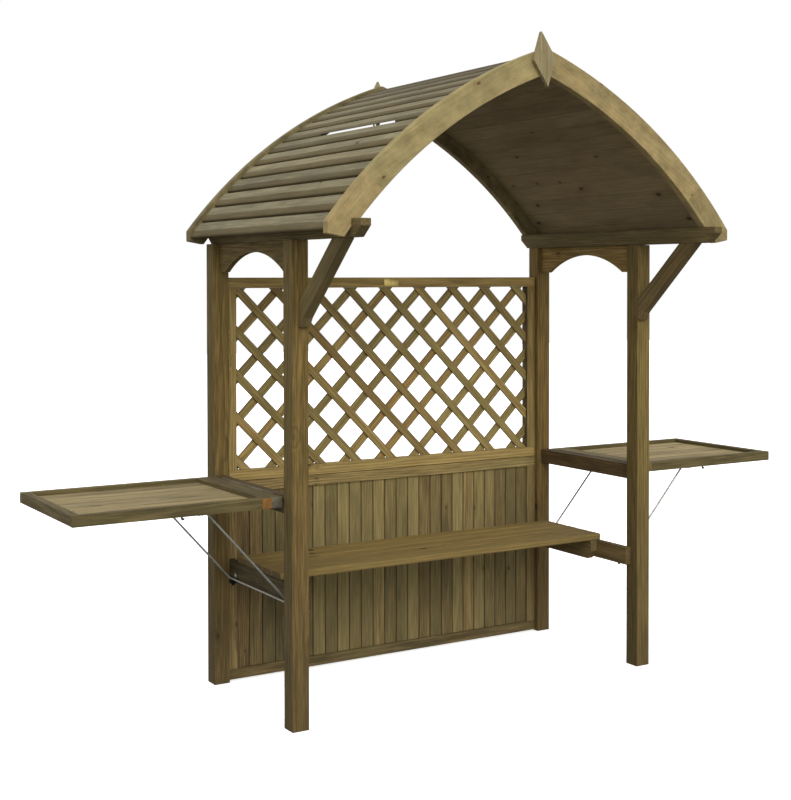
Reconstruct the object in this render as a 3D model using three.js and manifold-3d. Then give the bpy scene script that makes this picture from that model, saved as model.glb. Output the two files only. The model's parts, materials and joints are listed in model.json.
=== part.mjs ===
import * as THREE from 'three';
import { mergeVertices } from 'three/addons/utils/BufferGeometryUtils.js';
import Module from 'manifold-3d';

// Arbour seat of pressure-treated softwood: a slatted seat between four posts under a pointed
// arched roof, with a boarded and trellised back and a slatted table hinged to each side.
// Millimetres. X runs across the seat, Y from front to back, Z up from the ground.

// Posts, which set the whole plan
const overallWidth = 1490; // over the outer faces of the posts
const overallDepth = 665; // over the front and back faces of the posts
const postSize = 60;
const postHeight = 1565;
const jointGap = 0.3; // round infill panels and pieces that turn
const fuseDepth = 0.2; // how far pieces of one node sink into each other
const cutOverrun = 5; // how far a cutting solid reaches past what it cuts

// Side beams, lying on the post tops
const beamThickness = 35;
const beamHeight = 55;
const beamFrontOverhang = 396.5;
const beamBackOverhang = 55.5;
const beamChamferLength = 42;
const beamChamferHeight = 33;

// Knee braces between the front posts and the beams
const braceDrop = 277;
const braceReach = 299.5;
const bracePostSeat = 78;
const braceBeamSeat = 82;
const braceFootWidth = 13.5;
const braceHeelWidth = 31.5;
const braceHeelRise = 30;

// Arched rails under the beams
const archedRailThickness = 18;
const archedRailHeight = 100;
const archedRailShoulder = 48;
const archedRailRise = 67;

// Curved bargeboards, two halves to each pointed arch
const bargeThickness = 30;
const bargeDepth = 80;
const bargeRadius = 1706.5;
const bargeFrontInset = 56; // behind the front ends of the beams
const bargeBackInset = 3;
const eavesReach = 80; // past the outer faces of the beams
const eavesDrop = 9;
const ridgeRise = 562;
const bargeEndHeight = 36;
const bargeFootWidth = 56;
const bargeFootTilt = 10;
const bargeHookDepth = 24;
const arcSteps = 24;

// Diamond boards over the two arch joints
const finialHeight = 178;
const finialWidth = 88;
const finialThickness = 14;
const frontFinialLean = 8.5; // degrees
const frontFinialShift = -16;
const frontFinialDrop = 39;
const backFinialDrop = 67;

// Roof boards, lapped up each slope between the arches
const roofSeatDepth = 51; // of each bargeboard that shows under the boards
const roofBoardPitch = 72.5;
const roofBoardThickness = 16;
const roofBoardTongue = 4.5; // left of the thickness under the nose of the next board
const roofBoardLap = 9;
const roofNoseLean = 1.5;
const roofScoopStart = 50; // up the slope from the lower inside edge
const roofScoopFoot = 58;
const roofScoopRise = 3;
const roofEavesDrop = 30;

// Open joint in the left slope, between two boards that stand apart
const slitBoard = 7;
const slitWidth = 11;
const slitSlant = 23; // degrees, from the slope of the board
const slitFrontInset = 203;
const slitBackInset = 325;
const slitTieInset = 340;
const slitTieWidth = 6;

// Framed back: matchboards below, trellis above
const frameThickness = 36;
const frameBackInset = 4.5;
const frameMember = 38;
const groundGap = 4;
const panelHeight = 710;
const frameGap = 2;
const trellisHeight = 730;
const matchboardCount = 25;
const matchboardThickness = 12;
const matchboardInset = 8;
const veeWidth = 5;
const veeDepth = 2.5;
const lathWidth = 30;
const lathThickness = 8;
const lathSpacing = 109.1;
const lathInset = 10;
const fallingLathShift = -5.5;
const risingLathShift = 16.5;

// Bare brass plaque on the trellis top rail
const plaqueWidth = 62;
const plaqueHeight = 28;
const plaqueThickness = 1.8;
const plaqueCorner = 3;

// Seat
const seatHeight = 465;
const seatDepth = 340;
const seatFrontInset = 206.5; // behind the front faces of the posts
const slatCount = 5;
const slatGap = 4.5;
const slatThickness = 24;
const slatEndGap = 1;
const seatRailThickness = 24;
const seatRailHeight = 65;
const seatRailFrontInset = 35;
const seatRailBackGap = 2;
const bearerThickness = 27;
const bearerHeight = 71;
const bearerFrontReach = 4; // in front of the slats
const bearerBackInset = 8;
const bearerChamferLength = 24;
const bearerChamferHeight = 32;

// Side tables and the rails that carry them
const tableHeight = 745;
const tableReach = 690;
const tablePostGap = 4; // between the ends of a table and the lines of the posts
const tableFrameHeight = 35;
const innerMemberWidth = 71;
const endRailWidth = 26;
const outerRailWidth = 28;
const crossRailInset = 17; // outside the inner faces of the posts
const crossRailThickness = 39;
const crossRailHeight = 55;
const deckSlatCount = 7;
const deckSlatGap = 4.5;
const deckThickness = 9;
const deckRecess = 13.5;
const deckSideGap = 1.5;
const battenWidth = 40;
const battenEndInset = 46.5;
const battenPlaceShares = [0.22, 0.8];
const endPlateInset = 2;
const endPlateWidth = 37;
const endPlateThickness = 2;
const endPlateMargin = 0.5;

// Table hinges: thin leaves and knuckles in the gap beside the cross rail, almost flush
const hingeGap = 5;
const leafThickness = 2;
const leafHeight = 30;
const hingeLength = 400;
const knuckleCount = 5;
const knuckleRadius = 2.2;
const knuckleRise = 0.5; // of the hinge pin above the table
const hingePinRadius = 1;
const roundSides = 12;

// Stays: one bent rod under each table, hooked in clips on the seat rails
const stayRadius = 3.5;
const stayPivotReach = 260; // from the hinge axis
const stayPivotHeight = 8; // above the underside of the table frame
const stayArmGap = 6.5; // from the end rail to the middle of the arm
const stayPinLength = 19; // inside the end rail
const stayBarSeat = 17; // from the seat rail to the middle of the bar
const stayBarHeight = 10; // above the underside of the seat rail
const stayBend = 6;
const bendSteps = 4;
const boreDepth = 20;
const clipOffset = 18; // from the stay arm to the middle of the clip
const clipWidth = 20;
const clipPlate = 2.5;
const clipPlateHeight = 21;
const clipDepth = 12;
const clipReach = 24;
const clipLip = 2;
const clipLipHeight = 1.2;

// Cup hooks under the front rails of the tables
const hookReach = 342.5; // from the hinge axis
const hookWire = 1.6;
const hookCollar = 6;
const hookCollarHeight = 2;
const hookDrop = 18;
const hookSpan = 14;
const hookTip = 9;

const halfWidth = overallWidth / 2;
const halfDepth = overallDepth / 2;
const postInnerX = halfWidth - postSize;
const postInnerY = halfDepth - postSize;
const beamOuterX = postInnerX + beamThickness;
const beamTop = postHeight + beamHeight;
const beamFrontY = -halfDepth - beamFrontOverhang;
const beamBackY = halfDepth + beamBackOverhang;
const bargeFrontY = beamFrontY + bargeFrontInset;
const bargeBackY = beamBackY - bargeBackInset;
const roofFrontY = bargeFrontY + bargeThickness;
const roofBackY = bargeBackY - bargeThickness;
const eavesX = beamOuterX + eavesReach;
const eavesZ = beamTop - eavesDrop;
const ridgeZ = beamTop + ridgeRise;
const frameBackY = halfDepth - frameBackInset;
const frameFrontY = frameBackY - frameThickness;
const panelTop = groundGap + panelHeight;
const trellisBottom = panelTop + frameGap;
const trellisTop = trellisBottom + trellisHeight;
const openingX = postInnerX - frameMember;
const seatFrontY = -halfDepth + seatFrontInset;
const seatRailTop = seatHeight - slatThickness;
const seatRailBottom = seatRailTop - seatRailHeight;
const seatRailInnerX = postInnerX - seatRailThickness;
const crossRailInnerX = postInnerX + crossRailInset;
const crossRailOuterX = crossRailInnerX + crossRailThickness;
const hingeX = crossRailOuterX + hingeGap / 2;
const hingeZ = tableHeight + knuckleRise;
const tableHalfDepth = postInnerY - tablePostGap;
const endRailInnerY = tableHalfDepth - endRailWidth;
const stayArmY = endRailInnerY - stayArmGap;
const stayPivotX = hingeX + stayPivotReach;
const stayPivotZ = tableHeight - tableFrameHeight + stayPivotHeight;
const stayBarX = postInnerX + stayBarSeat;
const stayBarZ = seatRailBottom + stayBarHeight;

const finishes = {
  post: { color: 0x8a7850, roughness: 0.85, metalness: 0 },
  seat: { color: 0x84764f, roughness: 0.85, metalness: 0 },
  panel: { color: 0x84774c, roughness: 0.85, metalness: 0 },
  trellis: { color: 0x8d7c50, roughness: 0.85, metalness: 0 },
  barge: { color: 0xb59a63, roughness: 0.8, metalness: 0 },
  roof: { color: 0x9a8e6c, roughness: 0.88, metalness: 0 },
  finial: { color: 0xa89c7c, roughness: 0.85, metalness: 0 },
  rail: { color: 0x6e5b3a, roughness: 0.85, metalness: 0 },
  table: { color: 0x8f8058, roughness: 0.85, metalness: 0 },
  zinc: { color: 0x9a9c9c, roughness: 0.45, metalness: 0.9 },
  black: { color: 0x1c1c1c, roughness: 0.6, metalness: 0 },
  brass: { color: 0xb08d3c, roughness: 0.35, metalness: 0.9 },
};

const wasm = await Module();
wasm.setup();

const arbour = new THREE.Group();

function addPiece(name, geometry, finish, parent = arbour) {
  const mesh = new THREE.Mesh(geometry, new THREE.MeshStandardMaterial(finish));
  mesh.name = name;
  parent.add(mesh);
  return mesh;
}

// A box given by its span along each axis, either end first.
function block(spanX, spanY, spanZ) {
  const spans = [spanX, spanY, spanZ];
  const sizes = spans.map(([one, other]) => Math.abs(other - one));
  const middles = spans.map(([one, other]) => (one + other) / 2);
  return new THREE.BoxGeometry(...sizes).translate(...middles);
}

// Prisms of an outline, drawn in the two other axes and run along the named one.
function prism(points, [one, other], xAxis, yAxis, zAxis) {
  const outline = new THREE.Shape(points.map(([across, up]) => new THREE.Vector2(across, up)));
  const depth = Math.abs(other - one);
  const geometry = new THREE.ExtrudeGeometry(outline, { depth, bevelEnabled: false, steps: 1 });
  geometry.translate(0, 0, Math.min(one, other));
  return geometry.applyMatrix4(new THREE.Matrix4().makeBasis(xAxis, yAxis, zAxis));
}

const axisX = new THREE.Vector3(1, 0, 0);
const axisY = new THREE.Vector3(0, 1, 0);
const axisZ = new THREE.Vector3(0, 0, 1);

function prismAlongX(pointsYZ, spanX) {
  return prism(pointsYZ, spanX, axisY, axisZ, axisX);
}

function prismAlongY(pointsXZ, spanY) {
  const pointsZX = pointsXZ.map(([x, z]) => [z, x]);
  return prism(pointsZX, spanY, axisZ, axisX, axisY);
}

function prismAlongZ(pointsXY, spanZ) {
  return prism(pointsXY, spanZ, axisX, axisY, axisZ);
}

// A round bar or bore along Y.
function roundAlongY(radius, [one, other], x, z, sides = roundSides) {
  const length = Math.abs(other - one);
  return new THREE.CylinderGeometry(radius, radius, length, sides)
    .translate(x, (one + other) / 2, z);
}

function toSolid(geometry) {
  const bare = geometry.clone();
  bare.deleteAttribute('normal');
  bare.deleteAttribute('uv');
  const merged = mergeVertices(bare);
  return new wasm.Manifold(new wasm.Mesh({
    numProp: 3,
    vertProperties: merged.attributes.position.array,
    triVerts: new Uint32Array(merged.index.array),
  }));
}

function toGeometry(solid) {
  const { vertProperties, triVerts, numProp } = solid.getMesh();
  const geometry = new THREE.BufferGeometry();
  geometry.setAttribute('position', new THREE.BufferAttribute(vertProperties, numProp));
  geometry.setIndex(new THREE.BufferAttribute(triVerts, 1));
  geometry.computeVertexNormals();
  return geometry;
}

function join(geometries) {
  const [first, ...rest] = geometries.map(toSolid);
  return toGeometry(rest.reduce((whole, solid) => whole.add(solid), first));
}

function cut(geometry, cutters) {
  return toGeometry(cutters.map(toSolid).reduce((left, cutter) => left.subtract(cutter), toSolid(geometry)));
}

// Posts
function buildPosts() {
  for (const [sideWord, side] of [['left', -1], ['right', 1]]) {
    for (const [endWord, end] of [['front', -1], ['back', 1]]) {
      const geometry = new THREE.BoxGeometry(postSize, postSize, postHeight);
      const post = addPiece(`post_${endWord}_${sideWord}`, geometry, finishes.post);
      post.position.set(
        side * (halfWidth - postSize / 2),
        end * (halfDepth - postSize / 2),
        postHeight / 2,
      );
    }
  }
}

// A beam on the two posts of one side, with its lower ends cut back.
function beamGeometry(side) {
  const chamferZ = postHeight + beamChamferHeight;
  const points = [
    [beamFrontY, beamTop],
    [beamFrontY, chamferZ],
    [beamFrontY + beamChamferLength, postHeight],
    [beamBackY - beamChamferLength, postHeight],
    [beamBackY, chamferZ],
    [beamBackY, beamTop],
  ];
  return prismAlongX(points, [side * postInnerX, side * beamOuterX]);
}

// A diagonal brace from a front post to the beam overhead.
function braceGeometry(side) {
  const faceY = -halfDepth;
  const footZ = postHeight - braceDrop;
  const points = [
    [faceY, footZ],
    [faceY - braceFootWidth, footZ],
    [faceY - braceHeelWidth, footZ + braceHeelRise],
    [faceY - braceReach, postHeight],
    [faceY - braceReach + braceBeamSeat, postHeight],
    [faceY, footZ + bracePostSeat],
  ];
  return prismAlongX(points, [side * postInnerX, side * beamOuterX]);
}

// Points along an arc in a plane, from one angle to another.
function arcPoints(centre, radius, startAngle, endAngle) {
  const points = [];
  for (let step = 0; step <= arcSteps; step += 1) {
    const angle = startAngle + ((endAngle - startAngle) * step) / arcSteps;
    points.push([centre.x + radius * Math.cos(angle), centre.y + radius * Math.sin(angle)]);
  }
  return points;
}

// The rail under a beam, between its posts, hollowed to a low arch with flat shoulders.
function archedRailGeometry(side) {
  const bottomZ = postHeight - archedRailHeight;
  const halfSpan = postInnerY - archedRailShoulder;
  const radius = (halfSpan ** 2 + archedRailRise ** 2) / (2 * archedRailRise);
  const centre = new THREE.Vector2(0, bottomZ + archedRailRise - radius);
  const halfAngle = Math.asin(halfSpan / radius);
  const arch = arcPoints(centre, radius, Math.PI / 2 - halfAngle, Math.PI / 2 + halfAngle);
  const points = [
    [-postInnerY, postHeight],
    [postInnerY, postHeight],
    [postInnerY, bottomZ],
    ...arch,
    [-postInnerY, bottomZ],
  ];
  return prismAlongX(points, [side * (beamOuterX - archedRailThickness), side * beamOuterX]);
}

// Centre of the arcs of the right-hand slope, from the eaves, the ridge and the radius.
function findArchCentre() {
  const eaves = new THREE.Vector2(eavesX, eavesZ);
  const ridge = new THREE.Vector2(0, ridgeZ);
  const chord = ridge.clone().sub(eaves);
  const depth = Math.sqrt(bargeRadius ** 2 - chord.lengthSq() / 4);
  const inward = new THREE.Vector2(-chord.y, chord.x).normalize();
  return eaves.add(ridge).multiplyScalar(1 / 2).addScaledVector(inward, depth);
}

const archCentre = findArchCentre();

function ridgeAngle(radius) {
  return Math.acos(-archCentre.x / radius);
}

// One half of a pointed arch, hooked over the outer edge of a beam.
function bargeGeometry(side, spanY) {
  const innerRadius = bargeRadius - bargeDepth;
  const eavesAngle = Math.asin((eavesZ - archCentre.y) / bargeRadius);
  const beamAngle = Math.asin((beamTop - archCentre.y) / innerRadius);
  const endZ = eavesZ - bargeEndHeight;
  const outer = arcPoints(archCentre, bargeRadius, ridgeAngle(bargeRadius), eavesAngle);
  const inner = arcPoints(archCentre, innerRadius, beamAngle, ridgeAngle(innerRadius));
  outer[0][0] = 0;
  inner[arcSteps][0] = 0;
  inner[0][1] = beamTop;
  const points = [
    ...outer,
    [eavesX, endZ],
    [eavesX - bargeFootWidth, endZ - bargeFootTilt],
    [beamOuterX, beamTop - bargeHookDepth],
    [beamOuterX, beamTop],
    ...inner,
  ];
  return prismAlongY(points.map(([x, z]) => [side * x, z]), spanY);
}

// A diamond board, drawn about its middle.
function finialGeometry() {
  const points = [
    [0, finialHeight / 2],
    [finialWidth / 2, 0],
    [0, -finialHeight / 2],
    [-finialWidth / 2, 0],
  ];
  return prismAlongY(points, [0, finialThickness]);
}

function buildFinials() {
  const front = addPiece('finial_front', finialGeometry(), finishes.finial);
  front.position.set(frontFinialShift, bargeFrontY - finialThickness, ridgeZ - frontFinialDrop);
  front.rotation.y = -THREE.MathUtils.degToRad(frontFinialLean);
  const back = addPiece('finial_back', finialGeometry(), finishes.finial);
  back.position.set(0, bargeBackY, ridgeZ - backFinialDrop);
}

// The frame of one roof board: its lower inside corner, the way up the slope, and outwards.
function boardFrame(index) {
  const radius = bargeRadius - bargeDepth + roofSeatDepth;
  const step = 2 * Math.asin(roofBoardPitch / 2 / radius);
  const start = Math.asin((beamTop - roofEavesDrop - archCentre.y) / radius);
  const angle = start + index * step;
  const corner = new THREE.Vector2(Math.cos(angle), Math.sin(angle))
    .multiplyScalar(radius)
    .add(archCentre);
  const outward = new THREE.Vector2(Math.cos(angle + step / 2), Math.sin(angle + step / 2));
  const upward = new THREE.Vector2(-outward.y, outward.x);
  const boardsToRidge = (ridgeAngle(radius) - start) / step;
  return { corner, upward, outward, boardsToRidge };
}

// A point of a board, up its slope and out from its inside face, on either side of the roof.
function boardPoint({ corner, upward, outward }, along, out, side) {
  const point = corner.clone().addScaledVector(upward, along).addScaledVector(outward, out);
  return [side * point.x, point.y];
}

// All the boards of one slope, each lapped over the one below, cut off at the ridge.
function roofGeometry(side) {
  const boardCount = Math.ceil(boardFrame(0).boardsToRidge) + 1;
  const frames = Array.from({ length: boardCount }, (_, index) => boardFrame(index));
  const outer = frames.flatMap((frame) => [
    boardPoint(frame, -roofBoardLap, roofBoardTongue, side),
    boardPoint(frame, -roofBoardLap + roofNoseLean, roofBoardThickness, side),
    boardPoint(frame, roofScoopStart, roofBoardThickness, side),
    boardPoint(frame, roofScoopFoot, roofBoardTongue + roofScoopRise, side),
  ]);
  const inner = frames.map((frame) => boardPoint(frame, 0, 0, side)).reverse();
  const boards = prismAlongY([...outer, ...inner], [roofFrontY, roofBackY]);
  const pastRidge = -side * bargeDepth * 2;
  const beyond = block(
    [side * (jointGap / 2), pastRidge],
    [roofFrontY - cutOverrun, roofBackY + cutOverrun],
    [beamTop, ridgeZ + bargeDepth],
  );
  return cut(boards, [beyond]);
}

// The open joint: a narrow slot under the nose of one board, with a short tie left across it.
function slitCutters(side) {
  const frame = boardFrame(slitBoard);
  const slant = THREE.MathUtils.degToRad(slitSlant);
  const length = (roofBoardThickness + cutOverrun) / Math.sin(slant);
  const lower = [-roofBoardLap, roofBoardTongue];
  const along = [Math.cos(slant), -Math.sin(slant)];
  const across = [Math.sin(slant) * slitWidth, Math.cos(slant) * slitWidth];
  const corner = (distance, width) => boardPoint(
    frame,
    lower[0] + along[0] * distance + across[0] * width,
    lower[1] + along[1] * distance + across[1] * width,
    side,
  );
  const outline = [
    corner(-cutOverrun, 0),
    corner(-cutOverrun, 1),
    corner(length, 1),
    corner(length, 0),
  ];
  const tieY = roofFrontY + slitTieInset;
  const frontSpan = [roofFrontY + slitFrontInset, tieY - slitTieWidth / 2];
  const backSpan = [tieY + slitTieWidth / 2, roofBackY - slitBackInset];
  return [frontSpan, backSpan].map((span) => prismAlongY(outline, span));
}

function buildRoof() {
  for (const [sideWord, side] of [['left', -1], ['right', 1]]) {
    addPiece(`roof_beam_${sideWord}`, beamGeometry(side), finishes.rail);
    addPiece(`knee_brace_${sideWord}`, braceGeometry(side), finishes.rail);
    addPiece(`arched_rail_${sideWord}`, archedRailGeometry(side), finishes.rail);
    const frontSpan = [bargeFrontY, roofFrontY];
    const backSpan = [roofBackY, bargeBackY];
    addPiece(`bargeboard_front_${sideWord}`, bargeGeometry(side, frontSpan), finishes.barge);
    addPiece(`bargeboard_back_${sideWord}`, bargeGeometry(side, backSpan), finishes.barge);
  }
  addPiece('roof_boards_left', cut(roofGeometry(-1), slitCutters(-1)), finishes.roof);
  addPiece('roof_boards_right', roofGeometry(1), finishes.roof);
}

// Two stiles and two rails of a framed panel in the back.
function buildBackFrame(prefix, bottomZ, topZ, finish) {
  const depthSpan = [frameFrontY, frameBackY];
  const stileHeight = [bottomZ + frameMember, topZ - frameMember];
  for (const [sideWord, side] of [['left', -1], ['right', 1]]) {
    const span = [side * openingX, side * postInnerX];
    addPiece(`${prefix}_stile_${sideWord}`, block(span, depthSpan, stileHeight), finish);
  }
  const railSpan = [-postInnerX, postInnerX];
  const topRail = block(railSpan, depthSpan, [topZ - frameMember, topZ]);
  const bottomRail = block(railSpan, depthSpan, [bottomZ, bottomZ + frameMember]);
  addPiece(`${prefix}_top_rail`, topRail, finish);
  addPiece(`${prefix}_bottom_rail`, bottomRail, finish);
}

// Upright matchboards with a vee at each joint on both faces.
function matchboardGeometry() {
  const halfSpan = openingX - jointGap;
  const pitch = (2 * halfSpan) / matchboardCount;
  const frontY = frameFrontY + matchboardInset;
  const backY = frontY + matchboardThickness;
  const front = [[-halfSpan, frontY]];
  const back = [[-halfSpan, backY]];
  for (let joint = 1; joint < matchboardCount; joint += 1) {
    const x = -halfSpan + joint * pitch;
    front.push([x - veeWidth / 2, frontY], [x, frontY + veeDepth], [x + veeWidth / 2, frontY]);
    back.push([x - veeWidth / 2, backY], [x, backY - veeDepth], [x + veeWidth / 2, backY]);
  }
  front.push([halfSpan, frontY]);
  back.push([halfSpan, backY]);
  const bottomZ = groundGap + frameMember + jointGap;
  const topZ = panelTop - frameMember - jointGap;
  return prismAlongZ([...front, ...back.reverse()], [bottomZ, topZ]);
}

// One layer of the trellis: parallel laths at a slant, wide enough to cover the opening.
function lathLayer(slant, shift, middleY, middleZ, reach) {
  const count = Math.ceil(reach / lathSpacing);
  const laths = [];
  for (let row = -count; row <= count; row += 1) {
    const offset = shift + row * lathSpacing;
    const lath = new THREE.BoxGeometry(2 * reach, lathThickness, lathWidth)
      .translate(0, 0, offset)
      .rotateY(slant)
      .translate(0, middleY, middleZ);
    laths.push(lath);
  }
  return laths;
}

// Two crossed layers of laths, trimmed to the opening of the trellis frame.
function latticeGeometry() {
  const halfSpan = openingX - jointGap;
  const bottomZ = trellisBottom + frameMember + jointGap;
  const topZ = trellisTop - frameMember - jointGap;
  const middleZ = (bottomZ + topZ) / 2;
  const reach = Math.hypot(halfSpan, topZ - middleZ);
  const frontY = frameFrontY + lathInset + lathThickness / 2;
  const backY = frontY + lathThickness - fuseDepth;
  const falling = lathLayer(Math.PI / 4, fallingLathShift, frontY, middleZ, reach);
  const rising = lathLayer(-Math.PI / 4, risingLathShift, backY, middleZ, reach);
  const opening = block([-halfSpan, halfSpan], [frameFrontY, frameBackY], [bottomZ, topZ]);
  const trimmed = toSolid(join([...falling, ...rising])).intersect(toSolid(opening));
  const bodies = trimmed.decompose();
  const largest = bodies.reduce((best, body) => (body.volume() > best.volume() ? body : best));
  return toGeometry(largest);
}

function plaqueGeometry() {
  const halfW = plaqueWidth / 2;
  const halfH = plaqueHeight / 2;
  const middleZ = trellisTop - frameMember / 2;
  const corners = [[1, 1], [1, -1], [-1, -1], [-1, 1]].flatMap(([right, up]) => {
    const alongTop = [right * (halfW - plaqueCorner), middleZ + up * halfH];
    const alongSide = [right * halfW, middleZ + up * (halfH - plaqueCorner)];
    return right * up > 0 ? [alongTop, alongSide] : [alongSide, alongTop];
  });
  return prismAlongY(corners, [frameFrontY - plaqueThickness, frameFrontY]);
}

function buildBack() {
  buildBackFrame('back_panel', groundGap, panelTop, finishes.panel);
  addPiece('back_panel_boards', matchboardGeometry(), finishes.panel);
  buildBackFrame('trellis', trellisBottom, trellisTop, finishes.trellis);
  addPiece('trellis_lattice', latticeGeometry(), finishes.trellis);
  addPiece('trellis_plaque', plaqueGeometry(), finishes.brass);
}

// A seat rail on the inside of two posts, with the two clips for the stay on its outer face.
function seatRailGeometry(side) {
  const frontY = -halfDepth + seatRailFrontInset;
  const backY = frameFrontY - seatRailBackGap;
  const rail = block(
    [side * seatRailInnerX, side * postInnerX],
    [frontY, backY],
    [seatRailBottom, seatRailTop],
  );
  const ledgeZ = stayBarZ - stayRadius - jointGap;
  const outX = postInnerX + clipReach;
  const points = [
    [postInnerX - fuseDepth, ledgeZ - clipDepth + clipPlate],
    [postInnerX + clipPlate, ledgeZ - clipDepth],
    [outX - clipPlate, ledgeZ - clipDepth],
    [outX, ledgeZ - clipDepth + clipPlate],
    [outX, ledgeZ + clipLipHeight],
    [outX - clipLip, ledgeZ + clipLipHeight],
    [outX - clipLip, ledgeZ],
    [postInnerX + clipPlate, ledgeZ],
    [postInnerX + clipPlate, ledgeZ + clipPlateHeight],
    [postInnerX - fuseDepth, ledgeZ + clipPlateHeight],
  ].map(([x, z]) => [side * x, z]);
  const clips = [-1, 1].map((end) => {
    const middleY = end * (stayArmY - clipOffset);
    return prismAlongY(points, [middleY - clipWidth / 2, middleY + clipWidth / 2]);
  });
  return join([rail, ...clips]);
}

// A bearer beside the seat rail, under the slats, with its front lower corner cut off.
function bearerGeometry(side) {
  const frontY = seatFrontY - bearerFrontReach;
  const backY = seatFrontY + seatDepth - bearerBackInset;
  const bottomZ = seatRailTop - bearerHeight;
  const points = [
    [frontY, seatRailTop],
    [frontY, bottomZ + bearerChamferHeight],
    [frontY + bearerChamferLength, bottomZ],
    [backY, bottomZ],
    [backY, seatRailTop],
  ];
  return prismAlongX(points, [side * (seatRailInnerX - bearerThickness), side * seatRailInnerX]);
}

function buildSeat() {
  const slatWidth = (seatDepth - (slatCount - 1) * slatGap) / slatCount;
  const slatLength = 2 * (postInnerX - slatEndGap);
  for (let slat = 0; slat < slatCount; slat += 1) {
    const geometry = new THREE.BoxGeometry(slatLength, slatWidth, slatThickness);
    const mesh = addPiece(`seat_slat_${slat + 1}`, geometry, finishes.seat);
    const middleY = seatFrontY + slatWidth / 2 + slat * (slatWidth + slatGap);
    mesh.position.set(0, middleY, seatHeight - slatThickness / 2);
  }
  for (const [sideWord, side] of [['left', -1], ['right', 1]]) {
    addPiece(`seat_rail_${sideWord}`, seatRailGeometry(side), finishes.rail);
    addPiece(`seat_bearer_${sideWord}`, bearerGeometry(side), finishes.rail);
  }
}

// The pieces of a table are drawn from its hinge axis, so its group turns as the table does.
const frameTop = -knuckleRise;
const frameBottom = frameTop - tableFrameHeight;
const memberStart = hingeGap / 2;
const memberEnd = memberStart + innerMemberWidth;
const tableEnd = memberStart + tableReach;
const outerRailStart = tableEnd - outerRailWidth;
const pivotDrop = frameBottom + stayPivotHeight;

// An end rail with the blind bore that a pin of the stay turns in.
function endRailGeometry(side, end) {
  const outerY = end * tableHalfDepth;
  const innerY = end * endRailInnerY;
  const rail = block([side * memberEnd, side * tableEnd], [innerY, outerY], [frameBottom, frameTop]);
  const boreSpan = [innerY - end * cutOverrun, innerY + end * boreDepth];
  const boreRadius = stayRadius + jointGap;
  return cut(rail, [roundAlongY(boreRadius, boreSpan, side * stayPivotReach, pivotDrop, 16)]);
}

// The slatted deck, set down between the rails, with the battens that tie its slats.
function deckGeometry(side) {
  const topZ = frameTop - deckRecess;
  const bottomZ = topZ - deckThickness;
  const startX = memberEnd + jointGap;
  const endX = outerRailStart - jointGap;
  const halfSpan = endRailInnerY - deckSideGap;
  const slatWidth = (2 * halfSpan - (deckSlatCount - 1) * deckSlatGap) / deckSlatCount;
  const slats = Array.from({ length: deckSlatCount }, (_, index) => {
    const edge = -halfSpan + index * (slatWidth + deckSlatGap);
    return block([side * startX, side * endX], [edge, edge + slatWidth], [bottomZ, topZ]);
  });
  const battens = battenPlaceShares.map((share) => {
    const x = startX + share * (endX - startX);
    const spanX = [side * (x - battenWidth / 2), side * (x + battenWidth / 2)];
    const halfLength = tableHalfDepth - battenEndInset;
    return block(spanX, [-halfLength, halfLength], [frameBottom, bottomZ + fuseDepth]);
  });
  return join([...slats, ...battens]);
}

// The middle stretch along Y of each knuckle that belongs to one leaf.
function knuckleSpans(firstKnuckle) {
  const pitch = hingeLength / knuckleCount;
  const spans = [];
  for (let knuckle = firstKnuckle; knuckle < knuckleCount; knuckle += 2) {
    const start = -hingeLength / 2 + knuckle * pitch;
    spans.push([start + jointGap / 2, start + pitch - jointGap / 2]);
  }
  return spans;
}

// One leaf with its knuckles. The sign puts it on the cross rail side or the table side.
function leafGeometry(sign, firstKnuckle) {
  const near = sign * (memberStart - leafThickness);
  const far = sign * memberStart;
  const halfLength = hingeLength / 2;
  const plateTop = -knuckleRadius - jointGap;
  const plate = block([near, far], [-halfLength, halfLength], [plateTop - leafHeight, plateTop]);
  const tabs = knuckleSpans(firstKnuckle).map((span) => (
    block([near, far], span, [plateTop - fuseDepth, 0])
  ));
  const knuckles = knuckleSpans(firstKnuckle).map((span) => roundAlongY(knuckleRadius, span, 0, 0));
  return [plate, ...tabs, ...knuckles];
}

function fixedLeafGeometry(side) {
  const halfLength = hingeLength / 2;
  const pin = roundAlongY(hingePinRadius, [-halfLength, halfLength], 0, 0);
  return join([...leafGeometry(-side, 0), pin]);
}

function movingLeafGeometry(side) {
  const leaf = join(leafGeometry(side, 1));
  const boreSpan = [-hingeLength / 2 - cutOverrun, hingeLength / 2 + cutOverrun];
  return cut(leaf, [roundAlongY(hingePinRadius + jointGap, boreSpan, 0, 0)]);
}

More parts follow.
